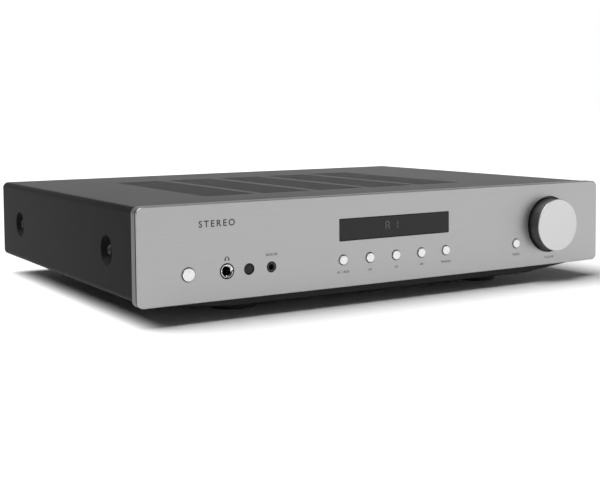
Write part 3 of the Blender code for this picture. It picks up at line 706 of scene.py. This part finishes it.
def make_headphone_socket():
    """Black collar, notched bright nut with a funnel mouth, plated sleeve and a dark well."""
    low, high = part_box("headphone_nut")
    center = front_center("headphone_nut")
    outer, edge, throat = (high.x - low.x) / 2, 0.0046, 0.0033
    collar = [(edge, high.y), (edge, low.y + 0.0002), (edge + 0.0001, low.y), (outer - 0.0002, low.y)]
    collar += [(outer, low.y + 0.0002), (outer, high.y)]
    turned_piece("headphone_collar", "cap_black", "headphone_nut", collar, center, slot="black_plastic")
    rim = [(throat, high.y), (throat, low.y + 0.0012), (edge - 0.0004, low.y + 0.0002)]
    rim += [(edge - 0.0002, low.y + 0.0001), (edge, low.y + 0.0001), (edge, high.y)]
    floor = low.y + 0.0014
    cut = [(throat, high.y), (throat, floor), (edge - 0.0004, floor), (edge - 0.0002, floor)]
    cut += [(edge, floor), (edge, high.y)]
    nut = bmesh.new()
    notched_ring(nut, center, rim, cut, 4, 7.0)
    make_piece("headphone_ring_nut", nut, "chrome", "headphone_nut")
    front, back = behind(0.0022), behind(0.0120)
    sleeve = [(0.0032, back), (0.0032, front + 0.0003), (0.0034, front), (0.0036, front + 0.0001)]
    sleeve += [(0.0037, front + 0.0004), (0.0037, back)]
    turned_piece("headphone_sleeve", "chrome", "headphone_jack", sleeve, center)
    body = plate(0.0120, 0.0130, 0.0008, center)
    bore = [(behind(0.0121), disc(center, 0.0032)(0)), (behind(0.0305), disc(center, 0.0032)(0))]
    sections = [(behind(0.0121), body(0)), (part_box("headphone_jack")[1].y, body(0))]
    solid_piece("headphone_well", "black_plastic", "", sections, (), [bore])
    springs = bmesh.new()
    for turn in (0, 90, 180):
        u, v = 0.0030 * cos(radians(turn)), 0.0030 * sin(radians(turn))
        leaf = plate(0.0010, 0.0010, 0.0003, (center[0] + u, center[1] + v))
        add_solid(springs, eased_bar(leaf, behind(0.0150), behind(0.0220)))
    make_piece("headphone_springs", springs, "nickel")


def make_aux_socket():
    """Moulded 3.5 mm socket with a plated contact sleeve inside its mouth."""
    low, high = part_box("aux_jack")
    center = front_center("aux_jack")
    bore, nose, step = 0.0021, 0.0036, behind(0.0035)
    mouth = [(bore, step), (bore, low.y + 0.0003), (bore + 0.0001, low.y + 0.0001)]
    mouth += [(bore + 0.0003, low.y)]
    mouth += rounded_corner(nose, low.y, 0.0005, 1) + [(nose, step)]
    body = node_plate("aux_jack", 0.0006)
    pit = [(step, circle(bore, center)), (behind(0.0130), circle(bore, center))]
    mesh = bmesh.new()
    add_turned(mesh, mouth, center)
    add_solid(mesh, [(step, body(0)), (high.y, body(0))], (), [pit])
    make_piece("aux_socket", mesh, "grey_plastic", "aux_jack")
    contact = [(0.0018, behind(0.0120)), (0.0018, low.y + 0.0048), (0.0020, low.y + 0.0046)]
    contact += [(0.00208, low.y + 0.0048), (0.00208, behind(0.0120))]
    turned_piece("aux_contact", "nickel", "", contact, center, segments=48)


def make_lens():
    low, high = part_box("ir_window")
    center = front_center("ir_window")
    radius, rim, flange = 0.0038, high.x - center[0], behind(0.0034)
    profile = domed_face(radius, low.y, 0.00035, 0.0006)
    profile += [(radius, flange), (rim, flange), (rim, high.y), (0, high.y)]
    turned_piece("infrared_lens", "lens", "ir_window", profile, center)


# Printing


def add_word(mesh, text, x, z, height, y, facing, spacing=1.05, weight=0.0):
    """A printed word, centered at (x, z), raised by the thickness of its ink.

    facing is -1 to be read from the front and +1 from behind; weight fattens the strokes.
    """
    curve = bpy.data.curves.new("word", "FONT")
    curve.body = text
    curve.extrude = 0.01
    curve.offset = weight
    curve.space_character = spacing
    curve.resolution_u = 3
    holder = bpy.data.objects.new("word", curve)
    drawn = bpy.data.meshes.new_from_object(holder)
    points = [vertex.co for vertex in drawn.vertices]
    left, right = min(p.x for p in points), max(p.x for p in points)
    bottom, top = min(p.y for p in points), max(p.y for p in points)
    scale = height / (top - bottom)
    for vertex in drawn.vertices:
        u, v, w = vertex.co
        depth = INK if w < 0 else 2 * INK
        vertex.co = (
            x - facing * (u - (left + right) / 2) * scale,
            y + facing * depth,
            z + (v - (bottom + top) / 2) * scale,
        )
    mesh.from_mesh(drawn)
    bpy.data.objects.remove(holder)
    bpy.data.curves.remove(curve)
    bpy.data.meshes.remove(drawn)


def add_flat(mesh, outline, y, facing, holes=()):
    """A flat printed shape, raised by the thickness of its ink."""
    near, far = y + facing * 2 * INK, y + facing * INK
    add_solid(mesh, [(near, outline), (far, outline)], [[(near, hole), (far, hole)] for hole in holes])


def make_fascia_printing():
    """Names of the controls, dark on the metal."""
    mesh = bmesh.new()
    bold, row, above = 0.010, 0.0115, FASCIA_LOW.z + 0.0296
    words = [(text, name, row, 0.0019, bold) for name, text in zip(source_buttons(), SOURCE_NAMES)]
    words += [("MENU", "menu_button", row, 0.0020, 0), ("VOLUME", "volume_knob", 0.0064, 0.0019, 0)]
    words += [("AUX IN", "aux_jack", 0.0296, 0.0020, bold)]
    for text, name, up, height, weight in words:
        add_word(mesh, text, middle(name).x, FASCIA_LOW.z + up, height, FACE_Y, -1, 1.0, weight)
    x, z = FASCIA_LOW.x + 0.0600, FASCIA_LOW.z + 0.0548
    add_word(mesh, "STEREO", x, z, 0.0048, FACE_Y, -1, 1.35, 0.016)
    x = middle("headphone_nut").x
    band = arc(x, above - 0.0004, 0.0017, 10, 170, 12) + arc(x, above - 0.0004, 0.0011, 170, 10, 12)
    add_flat(mesh, band, FACE_Y, -1)
    for side in (-1, 1):
        cup = rounded_box(0.0011, 0.0018, 0.0004, (x + side * 0.0014, above - 0.0009), 3)
        add_flat(mesh, cup, FACE_Y, -1)
    make_piece("fascia_printing", mesh, "ink")


# Case


def cover_path(inset):
    """The cover's cross-section line, left foot to right foot, that far inside its outer skin."""
    x, radius, foot = WIDTH / 2 - CORNER_RADIUS, CORNER_RADIUS - inset, 0.2030
    low, high = COVER_LOW.z + CORNER_RADIUS, COVER_HIGH.z - CORNER_RADIUS
    left = [(-foot, COVER_LOW.z + inset)]
    left += arc(-x, low, radius, -90, -180, BEND_STEPS)
    left += arc(-x, high, radius, 180, 90, BEND_STEPS)
    return both_sides(left)


def cup_rings(mesh, side, center):
    """Rings of a pressed screw cup, from the outer skin round its hole to the inner skin."""
    mouth, floor, hole, deep = 0.0107, 0.0078, 0.0023, 0.0048
    profile = [(mouth + 0.0005, 0), (mouth + 0.0002, 0.0001), (mouth - 0.0001, 0.0005)]
    profile += [(floor + 0.0004, deep - 0.0006), (floor, deep - 0.0002), (floor - 0.0005, deep)]
    profile += [(hole + 0.0002, deep), (hole, deep + 0.0002), (hole, deep + SHEET)]
    profile += [(floor + 0.0008, deep + SHEET), (mouth + SHEET, SHEET)]
    rings = []
    for radius, w in profile:
        outline = circle(radius, (center.y, center.z))
        rings.append(add_ring(mesh, outline, side * (WIDTH / 2 - w), "X"))
    join_rings(mesh, rings)
    return rings[0], rings[-1]


def cover_screws():
    """Side and node name of each screw in the cover's cups."""
    sides = ((-1, "left"), (1, "right"))
    return [(side, f"cover_screw_{word}_{end}") for side, word in sides for end in ("front", "rear")]


def slot_rings(mesh):
    """The top rings and bottom rings of every cooling slot."""
    upper, lower = [], []
    rim = 0.0002
    for column in range(SLOT_BLOCKS):
        x = MIDDLE_BLOCK_X + BLOCK_PITCH * (column - (SLOT_BLOCKS - 1) / 2)
        for row in range(SLOT_ROWS):
            center = (x, behind(FIRST_ROW + ROW_PITCH * row))
            wide = obround(SLOT_LENGTH + rim, SLOT_WIDTH + rim, center)
            true = obround(SLOT_LENGTH, SLOT_WIDTH, center)
            levels = ((0, wide), (rim / 2, true), (SHEET, true))
            rings = [add_ring(mesh, outline, COVER_HIGH.z - w, "Z") for w, outline in levels]
            join_rings(mesh, rings)
            upper.append(rings[0])
            lower.append(rings[-1])
    return upper, lower


def make_cover():
    """Folded cover: outer and inner skin with rounded bends, cooling slots and screw cups."""
    mesh = bmesh.new()
    edge = 0.0003
    front, back = COVER_LOW.y, COVER_HIGH.y
    half = 2 * BEND_STEPS + 3
    left_side, top, right_side = BEND_STEPS + 1, half - 1, 2 * half - BEND_STEPS - 3
    skins = []
    for inset, back_inset in ((0, edge), (SHEET, SHEET - edge)):
        rows = [add_ring(mesh, cover_path(inset), y) for y in (front, back - edge)]
        rows.append(add_ring(mesh, cover_path(back_inset), back))
        add_strip(mesh, rows[0], rows[1], (left_side, top, right_side))
        add_strip(mesh, rows[1], rows[2])
        skins.append(rows)
    outer, inner = skins
    for end in (0, -1):
        add_strip(mesh, outer[end], inner[end])
        add_strip(mesh, [row[end] for row in outer], [row[end] for row in inner])
    holes = {top: slot_rings(mesh), left_side: ([], []), right_side: ([], [])}
    for side, name in cover_screws():
        cut = holes[left_side if side < 0 else right_side]
        for rings, ring in zip(cut, cup_rings(mesh, side, middle(name))):
            rings.append(ring)
    for i, cut in holes.items():
        for rows, rings in zip(skins, cut):
            panel = [rows[0][i], rows[0][i + 1], rows[1][i + 1], rows[1][i]]
            cap(mesh, [panel] + rings)
    make_piece("cover_shell", mesh, "cover_paint", "top_cover")


def hull_path(inset):
    """The hull's cross-section line from left to right, that far inside its outer skin."""
    low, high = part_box("chassis_base")[0].z, FASCIA_LOW.z - GAP
    return both_sides([(inset - HULL_TOP, high), (inset - HULL_FLOOR, low + inset)])


def make_hull():
    """Folded hull: closed in front with an eased edge, open at the top and behind."""
    low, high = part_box("chassis_base")
    mesh = bmesh.new()
    front, back = low.y, high.y
    sections = eased(hull_path, front, 0.0010, 1, 5) + [(back, hull_path(0))]
    outer = [add_ring(mesh, path, y) for y, path in sections]
    inner = [add_ring(mesh, hull_path(SHEET), y) for y in (front + SHEET, back)]
    for rows in (outer, inner):
        for near, far in zip(rows, rows[1:]):
            add_strip(mesh, near, far)
        mesh.faces.new(rows[0])
    add_strip(mesh, outer[-1], inner[-1])
    mesh.faces.new((outer[0][0], outer[0][3], inner[0][3], inner[0][0]))
    for end in (0, 3):
        mesh.faces.new([ring[end] for ring in outer] + [ring[end] for ring in reversed(inner)])
    make_piece("hull_shell", mesh, "hull_paint", "chassis_base")
    walls = bmesh.new()
    for side in (-1, 1):
        section = [(HULL_TOP, 0.0141), (HULL_TOP, 0.0190), (0.2065, 0.0190), (0.2075, 0.0200)]
        section += [(0.2075, high.z), (0.2063, high.z), (0.2063, 0.0206), (0.2059, 0.0202)]
        section += [(HULL_TOP - SHEET, 0.0202), (HULL_TOP - SHEET, 0.0141)]
        outline = [(side * u, v) for u, v in section]
        add_solid(walls, [(behind(0.0345), outline), (back, outline)])
    # The tray walls take the hull's black paint in place of bare steel: painted shade where they show in
    # the gap between the cover and the hull
    make_piece("tray_walls", walls, "hull_paint")


def cross(center, reach, width):
    """An upright cross whose arms have this reach and width."""
    half = width / 2
    quarter = [(reach, -half), (reach, half), (half, half)]
    points = []
    for turn in range(4):
        for u, v in quarter:
            for _ in range(turn):
                u, v = -v, u
            points.append((center[0] + u, center[1] + v))
    return points


def add_screw_head(mesh, center, radius, top, bottom, axis):
    """A domed head with a cross recess. Its top and bottom are places along the axis."""
    into = 1 if bottom > top else -1
    dome = min(abs(bottom - top) * 0.9, radius * 0.5)
    outer = eased(disc(center, radius, 48), top, dome, into, 5) + [(bottom, circle(radius, center, 48))]
    deep = top + into * dome * 0.9
    mouth = cross(center, radius * 0.46, radius * 0.22)
    floor = cross(center, radius * 0.2, radius * 0.14)
    add_solid(mesh, outer, (), [[(top, mouth), (deep, floor)]], axis)


def make_cover_screws():
    for side, name in cover_screws():
        center = middle(name)
        head = (center.y, center.z)
        top, seat, tip = (side * WIDTH / 2 - side * depth for depth in (0.0018, 0.0045, 0.0140))
        mesh = bmesh.new()
        add_screw_head(mesh, head, 0.0040, top, seat, "X")
        add_solid(mesh, eased_bar(disc(head, 0.0018, 24), *sorted((seat, tip))), axis="X")
        make_piece(f"{name}_head", mesh, "screw_black", name)


def make_feet():
    """Rubber feet with a soft rim and ribs, each held by a screw up inside its recess."""
    screws = bmesh.new()
    for name in ("foot_front_left", "foot_front_right", "foot_rear_left", "foot_rear_right"):
        low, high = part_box(name)
        center = middle(name).xy
        radius = (high.x - low.x) / 2
        profile = [(0, high.z), (radius - 0.0020, high.z)]
        profile += [(radius - 0.0004, high.z - 0.0012), (radius, 0.0040)]
        profile += rounded_corner(radius - 0.0003, 0, 0.0014, 1)[::-1]
        for groove in (0.0140, 0.0110):
            profile += [(groove, 0), (groove - 0.0003, 0.0004)]
            profile += [(groove - 0.0009, 0.0004), (groove - 0.0012, 0)]
        profile += [(0.0049, 0), (0.0045, 0.0004), (0.0045, 0.0040), (0, 0.0040)]
        turned_piece(f"{name}_pad", "foot_rubber", name, profile, center, "Z")
        add_screw_head(screws, center, 0.0036, 0.0020, 0.0039, "Z")
    make_piece("foot_screws", screws, "screw_black")


def make_base_screws():
    """Screws up through the hull into the board's spacers and the transformer's bolt."""
    mesh = bmesh.new()
    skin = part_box("chassis_base")[0].z
    board_low, board_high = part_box("main_board")
    xs = (board_low.x + 0.008, (board_low.x + board_high.x) / 2)
    ys = (behind(0.098), behind(0.290))
    for place in [(x, y) for x in xs for y in ys] + [middle("transformer").xy]:
        add_screw_head(mesh, place, 0.0034, skin - 0.0014, skin + 0.0002, "Z")
    make_piece("base_screws", mesh, "screw_black")


# Rear


def speaker_terminals():
    return [f"speaker_stud_{number + 1}" for number in range(4)]


def socket_places(name):
    """Center (x, z) of each socket of a block, upper row first."""
    block, columns = middle(name), SOCKET_COLUMNS[name]
    places = []
    for row in (0.5, -0.5):
        for column in range(columns):
            x = block.x + SOCKET_PITCH * (column - (columns - 1) / 2)
            places.append((x, block.z + SOCKET_PITCH * row))
    return places


def flanged(flange, body, low, high, ease):
    """Sections of a body through the rear panel, with a flange that lies on it."""
    seat = PANEL_FACE + GAP
    return eased(flange, high, ease, -1) + [(seat, flange(0)), (seat, body(0)), (low, body(0))]


def rear_hole(outline, low, high):
    """A hole through the rear panel, from its outer face inwards, with an eased rim."""
    return opening(outline, high, low, into=-1)[::-1]


def make_rear_panel():
    """Rear wall down over the hull's end, pierced for everything that it carries."""
    low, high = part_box("rear_panel")

    def outline(inset):
        top, shoulder, radius = high.z - inset, 0.0186 + inset, 0.0040
        half = high.x - inset
        side = HULL_TOP - inset
        right = [(HULL_FLOOR - inset / 2, low.z + inset), (side, 0.0140), (side, shoulder)]
        right += arc(half - radius, shoulder + radius, radius, -90, 0, 8)
        right += arc(half - radius, top - radius, radius, 0, 90, 8)
        return both_sides(right)

    shapes = [
        plate(0.0284, 0.0204, 0.0008, front_center("mains_inlet")),
        plate(0.0142, 0.0202, 0.0008, front_center("mains_switch_frame")),
        disc(front_center("ground_stud"), 0.0032),
    ]
    shapes += [disc(front_center(name), 0.0045, 48) for name in speaker_terminals()]
    for name in SOCKET_COLUMNS:
        shapes += [disc(place, 0.0050, 48) for place in socket_places(name)]
    outer = eased_plate(outline, low.y, high.y, 0.0003)
    holes = [rear_hole(shape, low.y, high.y) for shape in shapes]
    solid_piece("rear_plate", "rear_paint", "rear_panel", outer, holes)
    screws = bmesh.new()
    for side in (-1, 1):
        for x, z in REAR_SCREWS:
            add_screw_head(screws, (side * x, z), 0.0027, high.y + 0.0015, high.y - 0.0001, "Y")
    make_piece("rear_screws", screws, "screw_black")


def make_inlet():
    """Appliance inlet: a flange, a deep cavity with two cut corners, and three blades."""
    low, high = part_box("mains_inlet")
    x, z = front_center("mains_inlet")
    flange, body = node_plate("mains_inlet", 0.0015), plate(0.0275, 0.0195, 0.0010, (x, z))
    floor = behind(0.2998)

    def cavity(inset):
        across, up, corner = 0.0122 - inset, 0.0082 - inset, 0.0050 - inset * 0.6
        right = [(across, -up), (across, up - corner), (across - corner, up)]
        return [(x + u, z + v) for u, v in both_sides(right)]

    outer = flanged(flange, body, low.y, high.y, 0.0008)
    pit = opening(cavity, high.y, floor, 0.0004, -1)
    solid_piece("inlet_shell", "black_plastic", "mains_inlet", outer, (), [pit])
    blades = bmesh.new()
    for u, v in ((-0.0070, -0.0015), (0.0070, -0.0015), (0, 0.0030)):
        blade = plate(0.0020, 0.0040, 0.0004, (x + u, z + v))
        add_solid(blades, eased_bar(blade, floor - 0.0005, behind(0.3118), 0.0003, 0.0006))
    make_piece("inlet_blades", blades, "nickel")


def make_mains_switch():
    """Bezel and well, and a rocker with a dished face that tips on its pivot."""
    low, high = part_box("mains_switch_frame")
    center = front_center("mains_switch_frame")
    bezel = node_plate("mains_switch_frame", 0.0012)
    housing = plate(0.0135, 0.0195, 0.0005, center)
    outer = flanged(bezel, housing, low.y, high.y, 0.0006)
    well = plate(0.0118, 0.0180, 0.0004, center)
    pit = opening(well, high.y, behind(0.3000), 0.0003, -1)
    solid_piece("switch_bezel", "black_plastic", "mains_switch_frame", outer, (), [pit])
    pivot = next(joint for joint in frame["joints"] if joint["name"] == "mains_switch")["pos_m"]
    half, face, dish, root = 0.0078, 0.0074, 0.0016, 0.0048

    def dished(v, reach=half):
        return face - dish * (1 - (v / reach) ** 2)

    def side(inset):
        reach = half - inset
        points = [(-root, 0.0040 - inset), (-root, inset - 0.0040), (0, -reach)]
        points += [(face - 0.0008, -reach), (face - inset, -reach + 0.0006)]
        for step in range(11):
            v = (reach - 0.0008) * (step - 5) / 5
            points.append((dished(v, reach) - inset, v))
        return points + [(face - inset, reach - 0.0006), (face - 0.0008, reach), (0, reach)]

    turned = Matrix.Translation(pivot) @ Matrix.Rotation(radians(-6), 4, "X")
    mesh = bmesh.new()
    add_solid(mesh, eased_bar(side, -0.0055, 0.0055, 0.0004, 0.0004), axis="X")
    bmesh.ops.transform(mesh, matrix=turned, verts=mesh.verts)
    make_piece("rocker_cap", mesh, "black_plastic", "mains_rocker", "mains_rocker")
    marks, proud = bmesh.new(), 0.00005
    add_flat(marks, rounded_box(0.0006, 0.0026, 0.00025, (0, 0.0046), 3), proud, 1)
    add_flat(marks, circle(0.0014, (0, -0.0046), 32), proud, 1, [circle(0.0009, (0, -0.0046), 32)])
    for vertex in marks.verts:
        vertex.co.y += dished(vertex.co.z)
    bmesh.ops.transform(marks, matrix=turned, verts=marks.verts)
    make_piece("rocker_marks", marks, "pale_ink", "", "mains_rocker", "black_plastic")


def fluted(center, radius, flutes, depth):
    """A finger grip's outline as a function of its inset: a circle with rounded flutes."""

    def outline(inset):
        points = []
        steps = flutes * 8
        for step in range(steps):
            angle = 2 * pi * step / steps
            reach = radius - inset - depth * (0.5 - 0.5 * cos(flutes * angle)) ** 2
            points.append((center[0] + reach * cos(angle), center[1] + reach * sin(angle)))
        return points

    return outline


def make_terminal(name, label, metal, cap_finish, carrier, slot=""):
    """Stud with its collar, clamp washer, and the fluted cap that screws down on both."""
    stud, washer, screwed = f"{name}_stud{label}", f"{name}_washer{label}", f"{name}_cap{label}"
    center = front_center(stud)
    low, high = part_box(stud)
    collar, thread = (high.x - low.x) / 2, 0.0020
    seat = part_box(carrier)[1].y + GAP
    profile = [(0, low.y), (thread, low.y), (thread, seat)]
    profile += [(collar - 0.0002, seat), (collar, seat + 0.0002)]
    profile += [(collar, seat + 0.0012), (collar - 0.0002, seat + 0.0014), (thread, seat + 0.0014)]
    turns = 9
    pitch = (high.y - 0.0004 - seat - 0.0014) / turns
    for turn in range(turns):
        start = seat + 0.0014 + pitch * turn
        profile += [(thread, start + pitch * 0.1), (thread - 0.0002, start + pitch * 0.5)]
        profile.append((thread, start + pitch * 0.9))
    profile += [(thread - 0.0003, high.y), (0, high.y)]
    turned_piece(f"{stud}_rod", metal, stud, profile, center, segments=48, slot=slot)
    near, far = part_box(washer)[0].y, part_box(washer)[1].y
    rim = size(washer).x / 2
    ring = [(STUD_HOLE, near)] + rounded_corner(rim, near, 0.0003, 1)
    ring += rounded_corner(rim, far, 0.0003, -1) + [(STUD_HOLE, far)]
    turned_piece(f"{washer}_ring", metal, washer, ring, center, segments=48, body=washer, slot=slot)
    low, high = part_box(screwed)
    radius = (high.x - low.x) / 2
    grip, nose = fluted(center, radius, 10, 0.0007), fluted(center, radius * 0.80, 10, 0.0002)
    end = high.y - 0.0016
    outer = eased(grip, low.y, 0.0005) + [(end, grip(0)), (end + 0.0003, grip(0.0003))]
    outer += eased(nose, high.y, 0.0003, -1)[::-1][1:]
    hole = circle(STUD_HOLE, center, 32)
    bore = [(low.y, hole), (high.y - 0.0020, hole)]
    solid_piece(f"{screwed}_grip", cap_finish, screwed, outer, (), [bore], body=screwed, slot=slot)


def make_terminals():
    """The strip on the panel, its terminals, and the ground terminal beside it."""
    low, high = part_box("speaker_terminal_strip")
    outline = node_plate("speaker_terminal_strip", 0.0022)
    outer = eased_plate(outline, low.y, high.y, 0.0008)
    places = [front_center(name) for name in speaker_terminals()]
    holes = [rear_hole(disc(place, STUD_HOLE, 48), low.y, high.y) for place in places]
    solid_piece("terminal_strip", "black_plastic", "speaker_terminal_strip", outer, holes)
    for number in range(1, 5):
        color = "cap_red" if number % 2 else "cap_black"
        make_terminal("speaker", f"_{number}", "gilt", color, "speaker_terminal_strip")
    make_terminal("ground", "", "nickel", "nickel", "rear_panel", "ground_metal")


def make_sockets(name):
    """Moulded block behind the panel, with a plated shell round a colored core for each socket."""
    low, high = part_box(name)
    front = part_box("rear_panel")[0].y - GAP
    body = eased_bar(node_plate(name, 0.0010), low.y, front, 0.0005)
    solid_piece(f"{name}_body", "black_plastic", name, body)
    shells, left_cores, right_cores = bmesh.new(), bmesh.new(), bmesh.new()
    outer, inner, tip, face = 0.00415, 0.0034, high.y, PANEL_FACE
    for x, z in socket_places(name):
        shell = [(inner, front), (inner, tip - 0.0003), (inner + 0.0002, tip), (outer - 0.0003, tip)]
        shell += [(outer, tip - 0.0003), (outer, face + 0.0012), (outer + 0.0007, face + 0.0011)]
        shell += [(outer + 0.0007, face + 0.0002), (outer, front)]
        add_turned(shells, shell, (x, z), segments=48)
        core = [(0.0018, face + 0.0010), (0.0018, tip - 0.0012), (0.0020, tip - 0.0010)]
        core += [(0.0031, tip - 0.0010), (inner, tip - 0.0012), (inner, face + 0.0010)]
        add_turned(left_cores if z > middle(name).z else right_cores, core, (x, z), segments=48)
    make_piece(f"{name}_shells", shells, "gilt")
    make_piece(f"{name}_left_cores", left_cores, "white_plastic")
    make_piece(f"{name}_right_cores", right_cores, "cap_red")


def make_rear_printing():
    """Plain names and frames of the connections, pale on the dark panel."""
    mesh = bmesh.new()
    face, title, small = PANEL_FACE, 0.0024, 0.0018
    strip, line = middle("speaker_terminal_strip"), middle("line_input_block")
    words = [
        ("SPEAKERS", "speaker_terminal_strip", 0, 0.0225, title),
        ("INPUTS", "line_input_block", 0, 0.0250, title),
        ("PHONO", "phono_input_block", 0, 0.0250, title),
        ("GND", "ground_stud", 0, 0.0105, small),
        ("AC IN", "mains_inlet", 0, 0.0225, title),
        ("POWER", "mains_switch_frame", 0, 0.0225, title),
    ]
    columns = SOCKET_COLUMNS["line_input_block"]
    for number in range(columns):
        x = SOCKET_PITCH * ((columns - 1) / 2 - number)
        words.append((str(number + 1), "line_input_block", x, 0.0172, small))
    for text, x in (("R", -0.0285), ("L", 0.0285)):
        words.append((text, "speaker_terminal_strip", x, 0.0155, small))
    for text, up in (("L", SOCKET_PITCH / 2), ("R", -SOCKET_PITCH / 2)):
        words.append((text, "line_input_block", 0.0450, up, small))
    for text, name, x, up, height in words:
        add_word(mesh, text, middle(name).x + x, middle(name).z + up, height, face, 1)
    for number, name in enumerate(speaker_terminals()):
        center = (middle(name).x, strip.z - 0.0160)
        minus = rounded_box(small, 0.0004, 0.0001, center, 2)
        add_flat(mesh, minus if number % 2 else cross(center, small / 2, 0.0004), face, 1)
    for block, width in ((line, 0.0980), (middle("phono_input_block"), 0.0240)):
        frame_outline = rounded_box(width, 0.0420, 0.0020, (block.x, block.z + 0.0015), 5)
        inside = rounded_box(width - 0.0006, 0.0414, 0.0018, (block.x, block.z + 0.0015), 5)
        add_flat(mesh, frame_outline, face, 1, [inside])
    make_piece("rear_printing", mesh, "pale_ink")


# Inside


def finish_inner_nodes():
    """The pieces under the cover keep their frame shapes and get their own finishes."""
    finishes = {
        "steel": ("front_subpanel", "encoder_body", "encoder_nut", "encoder_shaft", "transformer_clamp"),
        "module": ("display_module",),
        "board": ("front_board", "main_board"),
        "wound": ("transformer",),
        "heatsink": ("heatsink",),
        "sleeve": ("filter_capacitor_1", "filter_capacitor_2"),
        "ribbon": ("ribbon_cable",),
    }
    for finish_name, names in finishes.items():
        for name in names:
            for place in frame["nodes"][name].material_slots:
                place.material = FINISH[finish_name]


# Studio


def make_floor():
    """A pale floor out to a soft horizon."""
    mesh = bmesh.new()
    reach = 30.0
    add_turned(mesh, [(0, 0), (reach, 0)], (0, 0), "Z", 48)
    data = bpy.data.meshes.new("floor")
    mesh.to_mesh(data)
    mesh.free()
    surface, tree, shader = new_material("floor_white", specular=0.1)
    feed(tree, shader, {"Base Color": (0.80, 0.80, 0.80, 1), "Roughness": 0.9})
    data.materials.append(surface)
    put("floor", data)


def make_light():
    """A wide soft light above, a little to the left and behind."""
    data = bpy.data.lights.new("overhead", "SUN")
    data.energy = SUN_STRENGTH
    data.angle = radians(SUN_SPREAD)
    turn_x, turn_y = SUN_TURNS
    put("overhead", data).rotation_euler = (radians(turn_x), radians(turn_y), 0)


def mixed(tree, inputs, **settings):
    return node(tree, "ShaderNodeMix", inputs, data_type="RGBA", **settings).outputs["Result"]


def make_world():
    """White low round the horizon and darker above, dimmer towards -X and towards -Y."""
    world = bpy.data.worlds.new("studio")
    world.use_nodes = True
    tree = world.node_tree
    way = node(tree, "ShaderNodeTexCoord", {}).outputs["Generated"]
    parts = node(tree, "ShaderNodeSeparateXYZ", {"Vector": way}).outputs
    light = ramp(tree, parts["Z"], ((0.20, 2.3), (0.30, 0.10), (1.0, 0.15)))
    for part, stops in (
        ("X", ((0.25, 0.12), (0.60, 0.80), (0.90, 1.0))),
        ("Y", ((0.40, 0.6), (0.65, 1.0))),
    ):
        shade = ramp(tree, spread(tree, parts[part], 0, 1, -1.0, 1.0), stops)
        light = mixed(tree, {"Factor": 1.0, "A": light, "B": shade}, blend_type="MULTIPLY")
    to_camera = node(tree, "ShaderNodeLightPath", {}).outputs["Is Camera Ray"]
    seen = mixed(tree, {"Factor": to_camera, "A": light, "B": (1, 1, 1, 1)})
    feed(tree, tree.nodes["Background"], {"Color": seen})
    bpy.context.scene.world = world
    bpy.context.scene.view_settings.view_transform = "Standard"


def make_camera():
    """Yaw turns right from +Y, pitch looks down, roll leans the picture clockwise."""
    yaw, pitch, roll = radians(CAMERA_YAW), radians(CAMERA_PITCH), radians(CAMERA_ROLL)
    ahead = Vector((sin(yaw) * cos(pitch), cos(yaw) * cos(pitch), -sin(pitch)))
    right = Vector((cos(yaw), -sin(yaw), 0))
    down = ahead.cross(right)
    across = right * cos(roll) + down * sin(roll)
    up = right * sin(roll) - down * cos(roll)
    data = bpy.data.cameras.new("camera")
    data.lens = LENS
    data.shift_y = SHIFT_Y
    camera = put("camera", data)
    axes = Matrix((across, up, -ahead)).transposed().to_4x4()
    camera.matrix_world = Matrix.Translation(CAMERA_AT) @ axes
    bpy.context.scene.camera = camera


def make_all():
    make_camera()
    make_fascia()
    make_band()
    make_window()
    make_glyphs()
    for name in press_buttons():
        make_button(name)
    make_button_shade_rings()
    make_knob()
    make_knob_shade_cup()
    make_headphone_socket()
    make_aux_socket()
    make_lens()
    make_fascia_printing()
    make_cover()
    make_hull()
    make_cover_screws()
    make_feet()
    make_base_screws()
    make_rear_panel()
    make_inlet()
    make_mains_switch()
    make_terminals()
    for name in SOCKET_COLUMNS:
        make_sockets(name)
    make_rear_printing()
    finish_inner_nodes()
    make_floor()
    make_light()
    make_world()


make_all()
